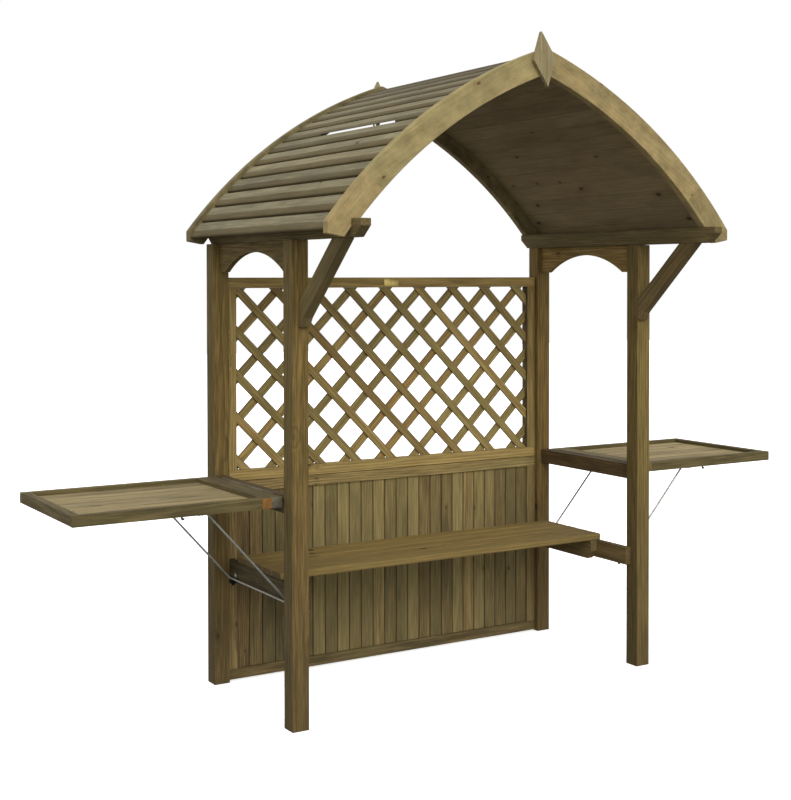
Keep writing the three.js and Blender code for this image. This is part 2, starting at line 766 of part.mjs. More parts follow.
// A rod's centre line with round bends, whose stations stand only where it bends.
class BentPath extends THREE.Curve {
  constructor(corners, bendRadius) {
    super();
    this.stations = [];
    const last = corners.length - 1;
    corners.forEach((corner, index) => {
      if (index === 0 || index === last) {
        const neighbour = index === 0 ? corners[1] : corners[last - 1];
        const sense = index === 0 ? 1 : -1;
        const tangent = neighbour.clone().sub(corner).multiplyScalar(sense).normalize();
        this.stations.push({ point: corner, tangent });
        return;
      }
      const incoming = corner.clone().sub(corners[index - 1]).normalize();
      const outgoing = corners[index + 1].clone().sub(corner).normalize();
      const turn = incoming.angleTo(outgoing);
      const setBack = bendRadius * Math.tan(turn / 2);
      const start = corner.clone().addScaledVector(incoming, -setBack);
      const inward = outgoing.clone().addScaledVector(incoming, -Math.cos(turn)).normalize();
      const centre = start.clone().addScaledVector(inward, bendRadius);
      for (let step = 0; step <= bendSteps; step += 1) {
        const angle = (turn * step) / bendSteps;
        const point = centre.clone()
          .addScaledVector(inward, -bendRadius * Math.cos(angle))
          .addScaledVector(incoming, bendRadius * Math.sin(angle));
        const tangent = incoming.clone().multiplyScalar(Math.cos(angle))
          .addScaledVector(inward, Math.sin(angle));
        this.stations.push({ point, tangent });
      }
    });
  }

  station(share) {
    return this.stations[Math.round(share * (this.stations.length - 1))];
  }

  getPoint(share, target = new THREE.Vector3()) {
    return target.copy(this.station(share).point);
  }

  getPointAt(share, target) {
    return this.getPoint(share, target);
  }

  getTangentAt(share, target = new THREE.Vector3()) {
    return target.copy(this.station(share).tangent);
  }
}

function bentRod(corners, bendRadius, wireRadius, sides) {
  const path = new BentPath(corners, bendRadius);
  const section = Array.from({ length: sides }, (_, index) => {
    const angle = (index / sides) * 2 * Math.PI;
    return new THREE.Vector2(Math.cos(angle), Math.sin(angle)).multiplyScalar(wireRadius);
  });
  const steps = path.stations.length - 1;
  return new THREE.ExtrudeGeometry(new THREE.Shape(section), { extrudePath: path, steps });
}

// A stay from its two pins in the end rails down to its bar in the clips on the seat rail.
function stayGeometry(side) {
  const tipY = endRailInnerY + stayPinLength;
  const barX = side * (stayBarX - stayPivotX);
  const barZ = stayBarZ - stayPivotZ;
  const corners = [
    new THREE.Vector3(0, -tipY, 0),
    new THREE.Vector3(0, -stayArmY, 0),
    new THREE.Vector3(barX, -stayArmY, barZ),
    new THREE.Vector3(barX, stayArmY, barZ),
    new THREE.Vector3(0, stayArmY, 0),
    new THREE.Vector3(0, tipY, 0),
  ];
  return bentRod(corners, stayBend, stayRadius, roundSides);
}

// A small cup hook, screwed up into the front rail.
function hookGeometry() {
  const halfSpan = hookSpan / 2;
  const corners = [
    new THREE.Vector3(0, 0, -hookCollarHeight + fuseDepth),
    new THREE.Vector3(0, 0, -hookDrop),
    new THREE.Vector3(hookSpan, 0, -hookDrop),
    new THREE.Vector3(hookSpan, 0, -hookDrop + hookTip),
  ];
  const wire = bentRod(corners, halfSpan - fuseDepth, hookWire, 8);
  const collar = new THREE.CylinderGeometry(hookCollar, hookCollar, hookCollarHeight, roundSides)
    .rotateX(Math.PI / 2)
    .translate(0, 0, -hookCollarHeight / 2);
  return join([wire, collar]);
}

function buildTable(sideWord, side) {
  const crossRail = block(
    [side * crossRailInnerX, side * crossRailOuterX],
    [-postInnerY, postInnerY],
    [tableHeight - crossRailHeight, tableHeight],
  );
  addPiece(`cross_rail_${sideWord}`, crossRail, finishes.rail);
  const fixedLeaf = addPiece(`hinge_fixed_leaf_${sideWord}`, fixedLeafGeometry(side), finishes.zinc);
  fixedLeaf.position.set(side * hingeX, 0, hingeZ);

  const table = new THREE.Group();
  table.position.set(side * hingeX, 0, hingeZ);
  arbour.add(table);
  const halfTable = tableHalfDepth;
  const heightSpan = [frameBottom, frameTop];
  const inner = block([side * memberStart, side * memberEnd], [-halfTable, halfTable], heightSpan);
  const outer = block(
    [side * outerRailStart, side * tableEnd],
    [-endRailInnerY, endRailInnerY],
    heightSpan,
  );
  const plateStart = memberStart + endPlateInset;
  const plate = block(
    [side * plateStart, side * (plateStart + endPlateWidth)],
    [-halfTable - endPlateThickness, -halfTable],
    [frameBottom + endPlateMargin, frameTop - endPlateMargin],
  );
  addPiece(`hinge_moving_leaf_${sideWord}`, movingLeafGeometry(side), finishes.zinc, table);
  addPiece(`table_inner_member_${sideWord}`, inner, finishes.table, table);
  addPiece(`table_front_rail_${sideWord}`, endRailGeometry(side, -1), finishes.table, table);
  addPiece(`table_back_rail_${sideWord}`, endRailGeometry(side, 1), finishes.table, table);
  addPiece(`table_outer_rail_${sideWord}`, outer, finishes.table, table);
  addPiece(`table_deck_${sideWord}`, deckGeometry(side), finishes.table, table);
  addPiece(`table_end_plate_${sideWord}`, plate, finishes.zinc, table);
  const hook = addPiece(`table_hook_${sideWord}`, hookGeometry(), finishes.black, table);
  hook.position.set(side * hookReach, -halfTable + endRailWidth / 2, frameBottom);
  const stay = addPiece(`table_stay_${sideWord}`, stayGeometry(side), finishes.zinc, table);
  stay.position.set(side * stayPivotReach, 0, pivotDrop);
}

buildPosts();
buildRoof();
buildFinials();
buildBack();
buildSeat();
buildTable('left', -1);
buildTable('right', 1);

// The origin lies on the ground under the middle of the whole, from the beams' front ends to the
// back of the back finial.
arbour.position.y = -(beamFrontY + bargeBackY + finialThickness) / 2;

export default arbour;
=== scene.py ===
import json
import math
import random

import bmesh
import bpy
from mathutils import Matrix, Vector

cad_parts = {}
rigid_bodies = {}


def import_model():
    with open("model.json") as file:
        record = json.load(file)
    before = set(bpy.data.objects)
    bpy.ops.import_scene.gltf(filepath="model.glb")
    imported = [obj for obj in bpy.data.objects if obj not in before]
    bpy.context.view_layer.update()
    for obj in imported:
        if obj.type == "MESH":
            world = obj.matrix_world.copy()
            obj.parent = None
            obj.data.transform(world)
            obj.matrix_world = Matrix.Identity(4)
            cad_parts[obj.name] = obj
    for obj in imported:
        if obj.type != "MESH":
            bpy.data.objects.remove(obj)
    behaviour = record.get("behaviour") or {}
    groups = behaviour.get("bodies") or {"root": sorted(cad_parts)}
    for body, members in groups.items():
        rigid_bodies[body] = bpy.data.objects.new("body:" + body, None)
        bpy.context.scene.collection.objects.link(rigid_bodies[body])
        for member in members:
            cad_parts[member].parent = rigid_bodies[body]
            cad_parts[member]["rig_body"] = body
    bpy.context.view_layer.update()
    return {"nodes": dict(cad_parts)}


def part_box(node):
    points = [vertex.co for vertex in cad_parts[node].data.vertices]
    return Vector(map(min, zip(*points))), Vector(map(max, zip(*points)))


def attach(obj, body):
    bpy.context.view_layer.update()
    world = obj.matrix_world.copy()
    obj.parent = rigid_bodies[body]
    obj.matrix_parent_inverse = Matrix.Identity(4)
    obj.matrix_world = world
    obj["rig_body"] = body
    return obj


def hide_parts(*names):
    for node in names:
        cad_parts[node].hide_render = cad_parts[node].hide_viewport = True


# Arbour seat of pressure-treated softwood. Metres: X across the seat, Y to the back, Z up.
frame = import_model()
chance = random.Random(41)

axisX = Vector((1, 0, 0))
axisY = Vector((0, 1, 0))
axisZ = Vector((0, 0, 1))
sides = {"left": -1, "right": 1}
middleY = 0.165  # the middle of the four posts
stayArm = 0.236  # from there to a table stay's side rods
planedEase = 0.0016  # the eased edge of an ordinary board


def toLinear(hexText):
    shares = [int(hexText[place:place + 2], 16) / 255 for place in (1, 3, 5)]
    return [share / 12.92 if share <= 0.04045 else ((share + 0.055) / 1.055) ** 2.4
            for share in shares] + [1]


def addNode(tree, kind, inputs=None, **settings):
    node = tree.nodes.new("ShaderNode" + kind)
    for name, value in settings.items():
        setattr(node, name, value)
    for key, value in (inputs or {}).items():
        socket = node.inputs[key]
        if isinstance(value, bpy.types.NodeSocket):
            tree.links.new(value, socket)
        else:
            socket.default_value = value
    return node


# The nodes that come most often, each giving back its result
def calculate(tree, operation, *values, **settings):
    return addNode(tree, "Math", dict(enumerate(values)), operation=operation,
                   **settings).outputs[0]


def spread(tree, value, start, stop, low=0, high=1, **settings):
    return addNode(tree, "MapRange", {"Value": value, 1: start, 2: stop, 3: low, 4: high},
                   **settings).outputs[0]


def blend(tree, share, first, second):
    return addNode(tree, "Mix", {0: share, 6: first, 7: second}, data_type="RGBA").outputs[2]


def scalePlace(tree, place, cells):
    return addNode(tree, "VectorMath", {0: place, 1: cells}, operation="MULTIPLY").outputs[0]


def addNoise(tree, place, cells, detail, roughness=0.5):
    spot = scalePlace(tree, place, cells)
    return addNode(tree, "TexNoise", {"Vector": spot, "Scale": 1, "Detail": detail,
                                      "Roughness": roughness}).outputs


def startMaterial(name):
    material = bpy.data.materials.new(name)
    material.use_nodes = True
    tree = material.node_tree
    tree.nodes.clear()
    shader = addNode(tree, "BsdfPrincipled")
    addNode(tree, "OutputMaterial", {"Surface": shader.outputs["BSDF"]})
    return material, tree, shader


# What timber and metal both end with
def finishMaterial(tree, shader, look, colour, rough, relief):
    bump = addNode(tree, "Bump", {"Strength": look["bump"], "Distance": look["bumpHeight"],
                                  "Height": relief})
    tree.links.new(colour, shader.inputs["Base Color"])
    tree.links.new(rough, shader.inputs["Roughness"])
    tree.links.new(bump.outputs[0], shader.inputs["Normal"])
    shader.inputs["Specular IOR Level"].default_value = look["specular"]


# Timber. The grain is read from two attributes that each board carries: its own place along,
# across and through the board in metres, and its own tone, hue, and dirt and painted shade.
timberBase = {
    "light": "#a08a58",
    "dark": "#66502c",
    "cool": "#7c7a4c",  # the green of the treatment
    "warm": "#8a6236",
    "knot": "#3f2b17",
    # the colour of dirt, and of painted shade
    "dirt": "#3b3020",
    "ringGap": 0.0075,  # about twice the real one, so that it shows
    "ringShare": 0.6,
    "streakShare": 0.5,
    "coolShare": 0.3,
    "warmShare": 0.3,
    "knotShare": 0.22,
    "knotCells": (4.2, 9, 5),  # cells to the metre along, across and through
    "knotKind": "3D",  # or 2D, for boards whose broad faces show every knot
    "knotSpan": (0.05, 0.1),  # the smallest and the largest, as shares of a cell
    "knotPush": 0.02,  # metres that the grain gives way round a knot
    "pithCells": (0.9, 5, 5),  # to the metre along, across and through, as in all the cells
    "pithSway": 0.05,
    "fibreCells": (7, 190, 190),  # fibres about 5 mm apart, coarser than real
    "patchCells": (2.2, 16, 16),
    "toneShare": 0.18,
    "mottleShare": 0.5,
    "mottleCells": (5, 26, 26),
    "roughness": 0.82,
    "roughSpan": 0.08,
    "bump": 0.35,
    "bumpHeight": 0.0006,
    # how dark the foot grows: a stain on the posts, painted shade under the seat on the back
    # panel
    "footStain": 0.0,
    # the darkening towards the foot ends at this height
    "footDarkeningTop": 1.0,  # height of the clean timber above the ground
    "ior": 1.45,
    "specular": 0.3,
}
# Between which values of its noise or distance each pattern rises from nothing to its full share
patternSpans = {
    "knotCore": (1.15, 0.75),
    "knotHalo": (4.0, 0.8),
    "fibre": (0.39, 0.61),
    "cool": (0.35, 1.1),
    "warm": (0.25, 0.9),
    "cloud": (0.3, 0.7),
}
ringShape = {
    "waveLength": 0.314,  # of the wave texture's rings at a scale of 1
    "wobble": 0.7,
    "wobbleScale": 0.35,
    "lateStart": 0.15,  # shares of one year's growth
    "lateEnd": 0.86,
    "earlyTone": 0.1,
}
haloShare = 0.35  # of the dark colour round a knot
# the patches break up the painted shade as well as the dirt
dirtAndShadeBreak = 0.9  # how much the patches break up the dirt


# The pith wanders slowly, which gives long arches on the flat faces.
def bendGrain(tree, place, look):
    wander = addNoise(tree, place, look["pithCells"], 2)
    centred = addNode(tree, "VectorMath", {0: wander["Color"], 1: (0.5, 0.5, 0.5)},
                      operation="SUBTRACT")
    sway = scalePlace(tree, centred.outputs[0], (0, look["pithSway"], look["pithSway"]))
    return addNode(tree, "VectorMath", {0: place, 1: sway}).outputs[0]


# Knots stand in some of the cells, each with a halo in which the grain is pushed aside.
def addKnots(tree, place, look):
    cells = addNode(tree, "TexVoronoi", {"Vector": scalePlace(tree, place, look["knotCells"]),
                                         "Scale": 1}, voronoi_dimensions=look["knotKind"])
    cellParts = addNode(tree, "SeparateColor", {0: cells.outputs["Color"]}).outputs
    chosen = calculate(tree, "GREATER_THAN", cellParts[0], 1 - look["knotShare"])
    size = spread(tree, cellParts[1], 0, 1, *look["knotSpan"])
    apart = calculate(tree, "DIVIDE", cells.outputs["Distance"], size)
    rises = [spread(tree, apart, *patternSpans[part], interpolation_type="SMOOTHSTEP")
             for part in ("knotCore", "knotHalo")]
    return [calculate(tree, "MULTIPLY", rise, chosen) for rise in rises]


# Growth rings: a soft rise to the dark late wood and a quick fall after it.
def addRings(tree, bent, halo, look):
    push = addNode(tree, "VectorMath", {0: (0, look["knotPush"], look["knotPush"]),
                                        "Scale": halo}, operation="SCALE")
    pushed = addNode(tree, "VectorMath", {0: bent, 1: push.outputs[0]})
    rings = addNode(tree, "TexWave", {"Vector": pushed.outputs[0],
                                      "Scale": ringShape["waveLength"] / look["ringGap"],
                                      "Distortion": ringShape["wobble"], "Detail": 2,
                                      "Detail Scale": ringShape["wobbleScale"]},
                    wave_type="RINGS", rings_direction="X", wave_profile="SAW")
    late = addNode(tree, "ValToRGB", {0: rings.outputs["Fac"]})
    rise, top = late.color_ramp.elements
    rise.position = ringShape["lateStart"]
    rise.color = (0, 0, 0, 1)
    top.position = ringShape["lateEnd"]
    top.color = (1, 1, 1, 1)
    fall = late.color_ramp.elements.new(1)
    fall.color = [ringShape["earlyTone"]] * 3 + [1]
    return late.outputs[0]


# Fibres drawn out along the board, and slow patches that its colours follow
def addFibres(tree, place, look):
    fibres = addNoise(tree, place, look["fibreCells"], 3, 0.6)
    fibre = spread(tree, fibres["Fac"], *patternSpans["fibre"])
    patches = addNoise(tree, place, look["patchCells"], 3)
    return fibre, addNode(tree, "SeparateColor", {0: patches["Color"]}).outputs


# Rings and fibres darken the wood, patches make it greener or browner, and knots go on top.
def colourWood(tree, late, fibre, patchParts, hue, knot, halo, look):
    light, dark, cool, warm, knotColour = (
        toLinear(look[part]) for part in ("light", "dark", "cool", "warm", "knot"))
    wood = blend(tree, calculate(tree, "MULTIPLY", late, look["ringShare"]), light, dark)
    wood = blend(tree, calculate(tree, "MULTIPLY", fibre, look["streakShare"]), wood, dark)
    green = calculate(tree, "ADD", hue, patchParts[0])
    wood = blend(tree, spread(tree, green, *patternSpans["cool"], 0, look["coolShare"]), wood,
                 cool)
    brown = calculate(tree, "SUBTRACT", patchParts[1], hue)
    wood = blend(tree, spread(tree, brown, *patternSpans["warm"], 0, look["warmShare"]), wood,
                 warm)
    wood = blend(tree, calculate(tree, "MULTIPLY", halo, haloShare), wood, dark)
    return blend(tree, knot, wood, knotColour)


# Dirt and painted shade that each board brings along, broken up by the patches
def soilAndShadeWood(tree, colour, patchParts, dirt, look):
    patch = calculate(tree, "SUBTRACT", patchParts[2], 0.5)
    broken = calculate(tree, "MULTIPLY_ADD", patch, dirtAndShadeBreak, dirt)
    share = calculate(tree, "MULTIPLY", broken, dirt, use_clamp=True)
    return blend(tree, share, colour, toLinear(look["dirt"]))


# The board's own tone, and cloudy light and dark within it
def toneWood(tree, place, colour, tone, look):
    cloud = addNoise(tree, place, look["mottleCells"], 4, 0.65)
    half = look["mottleShare"] / 2
    cloudValue = spread(tree, cloud["Fac"], *patternSpans["cloud"], 1 - half, 1 + half)
    value = calculate(tree, "MULTIPLY_ADD", tone, look["toneShare"], cloudValue)
    return addNode(tree, "HueSaturation", {"Value": value, "Color": colour}).outputs["Color"]


# Darker towards the foot: timber that stands on wet ground is stained there, and the back panel
# gets painted shade under the seat.
def stainAndShadeFoot(tree, colour, look):
    objectPlace = addNode(tree, "TexCoord").outputs["Object"]
    height = addNode(tree, "SeparateXYZ", {0: objectPlace}).outputs["Z"]
    low = spread(tree, height, look["footDarkeningTop"], 0, 0, look["footStain"])
    return blend(tree, low, colour, toLinear(look["dirt"]))


def makeTimber(name, **changes):
    look = {**timberBase, **changes}
    material, tree, shader = startMaterial(name)
    place = addNode(tree, "Attribute", attribute_name="grainPlace").outputs["Vector"]
    board = addNode(tree, "Attribute", attribute_name="boardTone").outputs["Vector"]
    boardParts = addNode(tree, "SeparateXYZ", {0: board})
    tone, hue, dirt = (boardParts.outputs[axis] for axis in "XYZ")

    bent = bendGrain(tree, place, look)
    knot, halo = addKnots(tree, place, look)
    late = addRings(tree, bent, halo, look)
    fibre, patchParts = addFibres(tree, place, look)
    colour = colourWood(tree, late, fibre, patchParts, hue, knot, halo, look)
    colour = soilAndShadeWood(tree, colour, patchParts, dirt, look)
    colour = toneWood(tree, place, colour, tone, look)
    if look["footStain"]:
        colour = stainAndShadeFoot(tree, colour, look)
    rough = spread(tree, fibre, 0, 1, look["roughness"] - look["roughSpan"],
                   look["roughness"] + look["roughSpan"])
    relief = calculate(tree, "ADD", fibre, late)
    finishMaterial(tree, shader, look, colour, rough, relief)
    shader.inputs["IOR"].default_value = look["ior"]
    return material


# Pressure-treated pine: one kind of board, weathered in many ways.
postPine = makeTimber(
    "plain sawn pine post", light="#7e6738", dark="#41300e", warm="#704921", cool="#59542c",
    ringShare=0.5, streakShare=0.6, mottleShare=0.5, mottleCells=(9, 110, 110), warmShare=0.4,
    knotShare=0.35, footStain=0.5)  # brown with a green cast, finely flecked
# Like the posts, a little smoother
seatPine = makeTimber(
    "planed pine slat", light="#856f3d", dark="#5a4624", warm="#7f532b", cool="#6a6138",
    knotKind="2D", knotShare=0.08, streakShare=0.4, mottleShare=0.2)
# Every matchboard is another green or brown, with flames of grain; painted shade darkens the
# boards under the seat.
panelPine = makeTimber(
    "pine matchboard", light="#9c8251", dark="#544224", warm="#84592f", cool="#7a7247",
    toneShare=0.28, knotKind="2D", knotShare=0.04, coolShare=0.6, warmShare=0.45,
    knotCells=(12, 22, 6), ringGap=0.006, ringShare=0.75, streakShare=0.7, footStain=0.3)
# The laths' dark cut edges are painted shade, laid on with their grain.
trellisPine = makeTimber(
    "sawn pine lath", light="#a28a54", dark="#644e28", warm="#916233", cool="#837e4c",
    knotKind="2D", knotShare=0.05, warmShare=0.4, mottleShare=0.35)  # thin, with dark cut edges
# The lightest tan of all, blotched, with round knots
bargePine = makeTimber(
    "curved pine board", light="#9f8a5e", dark="#79663d", warm="#956f3b", cool="#7a764e",
    knot="#624422", knotKind="2D", knotShare=0.25, warmShare=0.12, ringShare=0.2, streakShare=0.3,
    coolShare=0.5, mottleShare=0.5, mottleCells=(16, 22, 22), knotCells=(9, 17, 7))
# Greyed on top and brown on the inside, with painted shade along the lower edge and on the inside
roofPine = makeTimber(
    "lapped pine roof board", light="#81795f", dark="#5a4f35", warm="#705c3b", cool="#6b694f",
    dirt="#54492d", toneShare=0.12, ringShare=0.4, warmShare=0.6, streakShare=0.5,
    mottleShare=0.4, mottleCells=(5, 15, 15), knotKind="2D", knotShare=0.13, knotCells=(7, 11, 5))
finialPine = makeTimber(
    "pine gable board", light="#968864", dark="#6c5d3f", warm="#896d45", cool="#7e7857",
    knotShare=0.1)  # pale grey tan
railPine = makeTimber(
    "shaded pine rail", light="#6c5b37", dark="#3d3019", warm="#624425", cool="#504d2e",
    mottleShare=0.45)  # browner and darker than the posts
tablePine = makeTimber(
    "pine table board", light="#9a8962", dark="#5f4f2f", warm="#81663e", cool="#807a58",
    knotKind="2D", knotShare=0.06, toneShare=0.2, mottleShare=0.6, mottleCells=(2.5, 50, 50),
    streakShare=0.7, ringShare=0.6)  # greyed tops with dark streaks
# For the tables' upright faces, darker than the decks
tableRailPine = makeTimber(
    "pine table rail", light="#6e5f3a", dark="#3f331a", warm="#644627", cool="#545236",
    knotShare=0.12, knotCells=(6, 16, 16), streakShare=0.6)
barePine = makeTimber(
    "fresh pine end grain", light="#94682f", dark="#6c4820", warm="#925d26", cool="#7a6538",
    knotShare=0.0)  # orange, where the plate was let in

metalBase = {
    "colour": "#a9abac",
    "spot": "#7d8082",
    "spotSize": 0.006,  # the zinc's crystals
    "metallic": 0.85,
    "low": 0.38,
    "high": 0.55,
    "cloudScale": 60,  # clouds to the metre
    "bump": 0.1,
    "bumpHeight": 0.0003,
    "specular": 0.5,
}


def makeMetal(name, **changes):
    look = {**metalBase, **changes}
    material, tree, shader = startMaterial(name)
    place = addNode(tree, "TexCoord").outputs["Object"]
    crystals = addNode(tree, "TexVoronoi", {"Vector": place, "Scale": 1 / look["spotSize"]})
    crystalParts = addNode(tree, "SeparateColor", {0: crystals.outputs["Color"]})
    cloud = addNode(tree, "TexNoise", {"Vector": place, "Scale": look["cloudScale"],
                                       "Detail": 3}).outputs["Fac"]
    both = calculate(tree, "MULTIPLY", crystalParts.outputs[0], cloud)
    colour = blend(tree, both, toLinear(look["colour"]), toLinear(look["spot"]))
    rough = spread(tree, both, 0, 1, look["low"], look["high"])
    finishMaterial(tree, shader, look, colour, rough, cloud)
    shader.inputs["Metallic"].default_value = look["metallic"]
    return material


# Grey with a soft glint along the rods
zincSteel = makeMetal(
    "dull zinc steel rod", colour="#9a9990", spot="#6c6b64", metallic=0.65, low=0.34, high=0.5)
zincPlate = makeMetal(
    "weathered zinc plate", colour="#6c6554", spot="#4b4639", metallic=0.55, spotSize=0.009,
    low=0.5, high=0.7)  # flat grey plates and hinge leaves
blackSteel = makeMetal(
    "black coated steel", colour="#090908", spot="#121110", metallic=0.0, low=0.7, high=0.85,
    specular=0.12)  # nearly black, hardly a sheen
plainBrass = makeMetal(
    "bare brass plate", colour="#cdb572", spot="#b39c58", spotSize=0.02, metallic=0.9, low=0.3,
    high=0.42)  # dull gold
print("materials are ready")

meshWork = {
    "mergeDistance": 1e-6,
    "cutDistance": 1e-7,
    "flatAngle": 0.6,  # degrees; flatter edges of the CAD mesh are dissolved
    "sharpAngle": 30,
    "roundSharpAngle": 50,  # on metal pieces with round parts
    "smoothAngle": 38,
    "metalEase": 0.0004,
}
# How each board is cut from its log, where nothing else is said
grain = {
    "startReach": 40,
    "pithAcross": 0.05,
    "pithThrough": (0.02, 0.07),
    "hueSpan": (0, 0.6),
}
# Dirt and painted shade on some faces, told apart by the way they look
dirtAndShadeLook = {
    # painted shade on the faces that look sideways
    "sides": 0.85,
    "sideways": 0.7,  # the least part along X of such a face's normal
    # dirt in the matchboards' vees, painted shade on the laths' cut edges; broad faces get
    # neither
    "joints": 0.8,
    "broad": 0.9,  # the same along Y, for broad faces, which stay clean
    # painted shade on the sides of the deck slats; the flatter a face lies, the less it gets
    "slats": 0.6,
    "slatFade": 1.1,  # the flatter a face lies, the cleaner it is
}


def startBoards():
    bm = bmesh.new()
    bm.loops.layers.float_vector.new("grainPlace")
    bm.loops.layers.float_vector.new("boardTone")
    return bm


# Gives the faces one board's grain: the way it runs, the way its width lies, and its own tone,
# hue, and dirt and painted shade. A tone or hue that isn't given is drawn by chance; left faces
# may have another, whose lower tone is painted shade.
def layGrain(bm, faces, along, across, tone=None, hue=None, dirtAndShadeAt=None, leftShadeAndHue=(0, 0)):
    placeLayer = bm.loops.layers.float_vector["grainPlace"]
    toneLayer = bm.loops.layers.float_vector["boardTone"]
    along = along.normalized()
    across = across.normalized()
    through = along.cross(across)
    start = chance.uniform(0, grain["startReach"])
    pithAcross = chance.uniform(-grain["pithAcross"], grain["pithAcross"])
    pithThrough = chance.choice((-1, 1)) * chance.uniform(*grain["pithThrough"])
    tone = chance.uniform(-1, 1) if tone is None else tone
    hue = chance.uniform(*grain["hueSpan"]) if hue is None else hue
    corners = [loop for face in faces for loop in face.loops]
    middle = sum((loop.vert.co for loop in corners), Vector()) / len(corners)
    for loop in corners:
        place = loop.vert.co - middle
        loop[placeLayer] = Vector((place.dot(along) + start, place.dot(across) + pithAcross,
                                   place.dot(through) + pithThrough))
        leftward = max(0, -loop.face.normal.x)
        loop[toneLayer] = Vector((tone + leftShadeAndHue[0] * leftward, hue + leftShadeAndHue[1] * leftward,
                                  dirtAndShadeAt(loop) if dirtAndShadeAt else 0))


def bevelEdges(bm, edges, width, segments=2):
    return bmesh.ops.bevel(bm, geom=edges, offset=width, offset_type="OFFSET",
                           segments=segments, profile=0.5, affect="EDGES",
                           clamp_overlap=True, material=-1)


def sharpEdges(bm, angle=meshWork["sharpAngle"]):
    return [edge for edge in bm.edges
            if len(edge.link_faces) == 2 and edge.calc_face_angle(0) > math.radians(angle)]


def pick(items, kind):
    return [item for item in items if isinstance(item, kind)]


# Cuts away what lies before a plane, closes the cut and gives back what is left.
def cutAway(bm, geom, point, normal):
    result = bmesh.ops.bisect_plane(bm, geom=geom, dist=meshWork["cutDistance"],
                                    plane_co=point, plane_no=normal, clear_outer=True)
    cutEdges = pick(result["geom_cut"], bmesh.types.BMEdge)
    if cutEdges:
        bmesh.ops.holes_fill(bm, edges=cutEdges, sides=0)
    return result["geom"], cutEdges


# Ends a mesh: one object at the origin that rides on the body of the nodes it stands for.
def finishPiece(bm, name, nodes, material, smooth=False):
    bm.normal_update()
    mesh = bpy.data.meshes.new(name)
    bm.to_mesh(mesh)
    bm.free()
    piece = bpy.data.objects.new(name, mesh)
    bpy.context.scene.collection.objects.link(piece)
    mesh.materials.append(material)
    if smooth:
        mesh.shade_smooth()
        mesh.set_sharp_from_angle(angle=math.radians(meshWork["smoothAngle"]))
    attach(piece, frame["nodes"][nodes[0]]["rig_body"])
    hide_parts(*nodes)
    return piece


def copyNode(node):
    bm = startBoards()
    bm.from_mesh(frame["nodes"][node].data)
    bmesh.ops.remove_doubles(bm, verts=bm.verts, dist=meshWork["mergeDistance"])
    bmesh.ops.dissolve_limit(bm, angle_limit=math.radians(meshWork["flatAngle"]),
                             verts=bm.verts, edges=bm.edges, delimit=set())
    return bm


def pieceName(node):
    first, *rest = node.split("_")
    return first + "".join(word.capitalize() for word in rest)


def finishNode(bm, node, material, smooth=False):
    return finishPiece(bm, pieceName(node), [node], material, smooth)


def newFaces(bm, known):
    return [face for face in bm.faces if face not in known]


# One planed board: the CAD solid with its edges eased and its grain laid along it.
def easeNode(node, material, slot, along, across, ease=planedEase, tone=None, hue=None,
             leftShadeAndHue=(0, 0), dirtAndShadeAt=None):
    bm = copyNode(node)
    bevelEdges(bm, sharpEdges(bm), ease)
    bm.normal_update()
    layGrain(bm, bm.faces[:], along, across, tone, hue, dirtAndShadeAt, leftShadeAndHue)
    return finishNode(bm, node, material)


# Painted shade on the faces that look sideways: the ends of slats, the sides of uprights.
def sideShade(loop):
    return dirtAndShadeLook["sides"] if abs(loop.face.normal.x) > dirtAndShadeLook["sideways"] else 0.0


# Posts and the frame that stands on them
frameBoards = {
    "ease": 0.0025,
    "archedRailEase": 0.0012,
    "railEase": planedEase,
    # each post's tone, its hue from brown to green, and what its left face adds to them: painted
    # shade to the tone, and another hue
    "posts": {"front_left": (0.2, 0.2, -1.2, 1.0), "front_right": (1.2, 0.7, -2.1, -0.3),
              "back_left": (0.1, 0.3, -1.3, 0.6), "back_right": (0.6, 0.15, 0.0, 0.0)},
    # tone and hue of the other boards, where 0 is brown and 1 green
    "beam": (0.9, 0.4),
    "brace": {"left": (1.4, 1.0), "right": (0.6, 0.1)},
    "archedRail": {"left": (-1.0, 0.5), "right": (2.4, 0.25)},
    "crossRail": (-1.9, -0.5),
    "bearer": (1.2, 0.1),
}

for corner, (tone, hue, leftShade, leftHue) in frameBoards["posts"].items():
    easeNode("post_" + corner, postPine, "post_timber", axisZ, axisX, frameBoards["ease"],
             tone, hue, (leftShade, leftHue))
for side in sides:
    braceLow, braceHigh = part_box("knee_brace_" + side)
    braceRun = Vector((0, braceLow.y - braceHigh.y, braceHigh.z - braceLow.z))
    for node, timber, ease, along, across, look in (
            ("roof_beam", railPine, "ease", axisY, axisZ, frameBoards["beam"]),
            ("knee_brace", railPine, "ease", braceRun, braceRun.cross(axisX),
             frameBoards["brace"][side]),
            ("arched_rail", postPine, "archedRailEase", axisY, axisZ,
             frameBoards["archedRail"][side]),
            ("cross_rail", railPine, "railEase", axisY, axisZ, frameBoards["crossRail"]),
            ("seat_bearer", railPine, "railEase", axisY, axisZ, frameBoards["bearer"])):
        easeNode(f"{node}_{side}", timber, "rail_timber", along, across, frameBoards[ease],
                 *look)
print("posts, beams and rails are done")


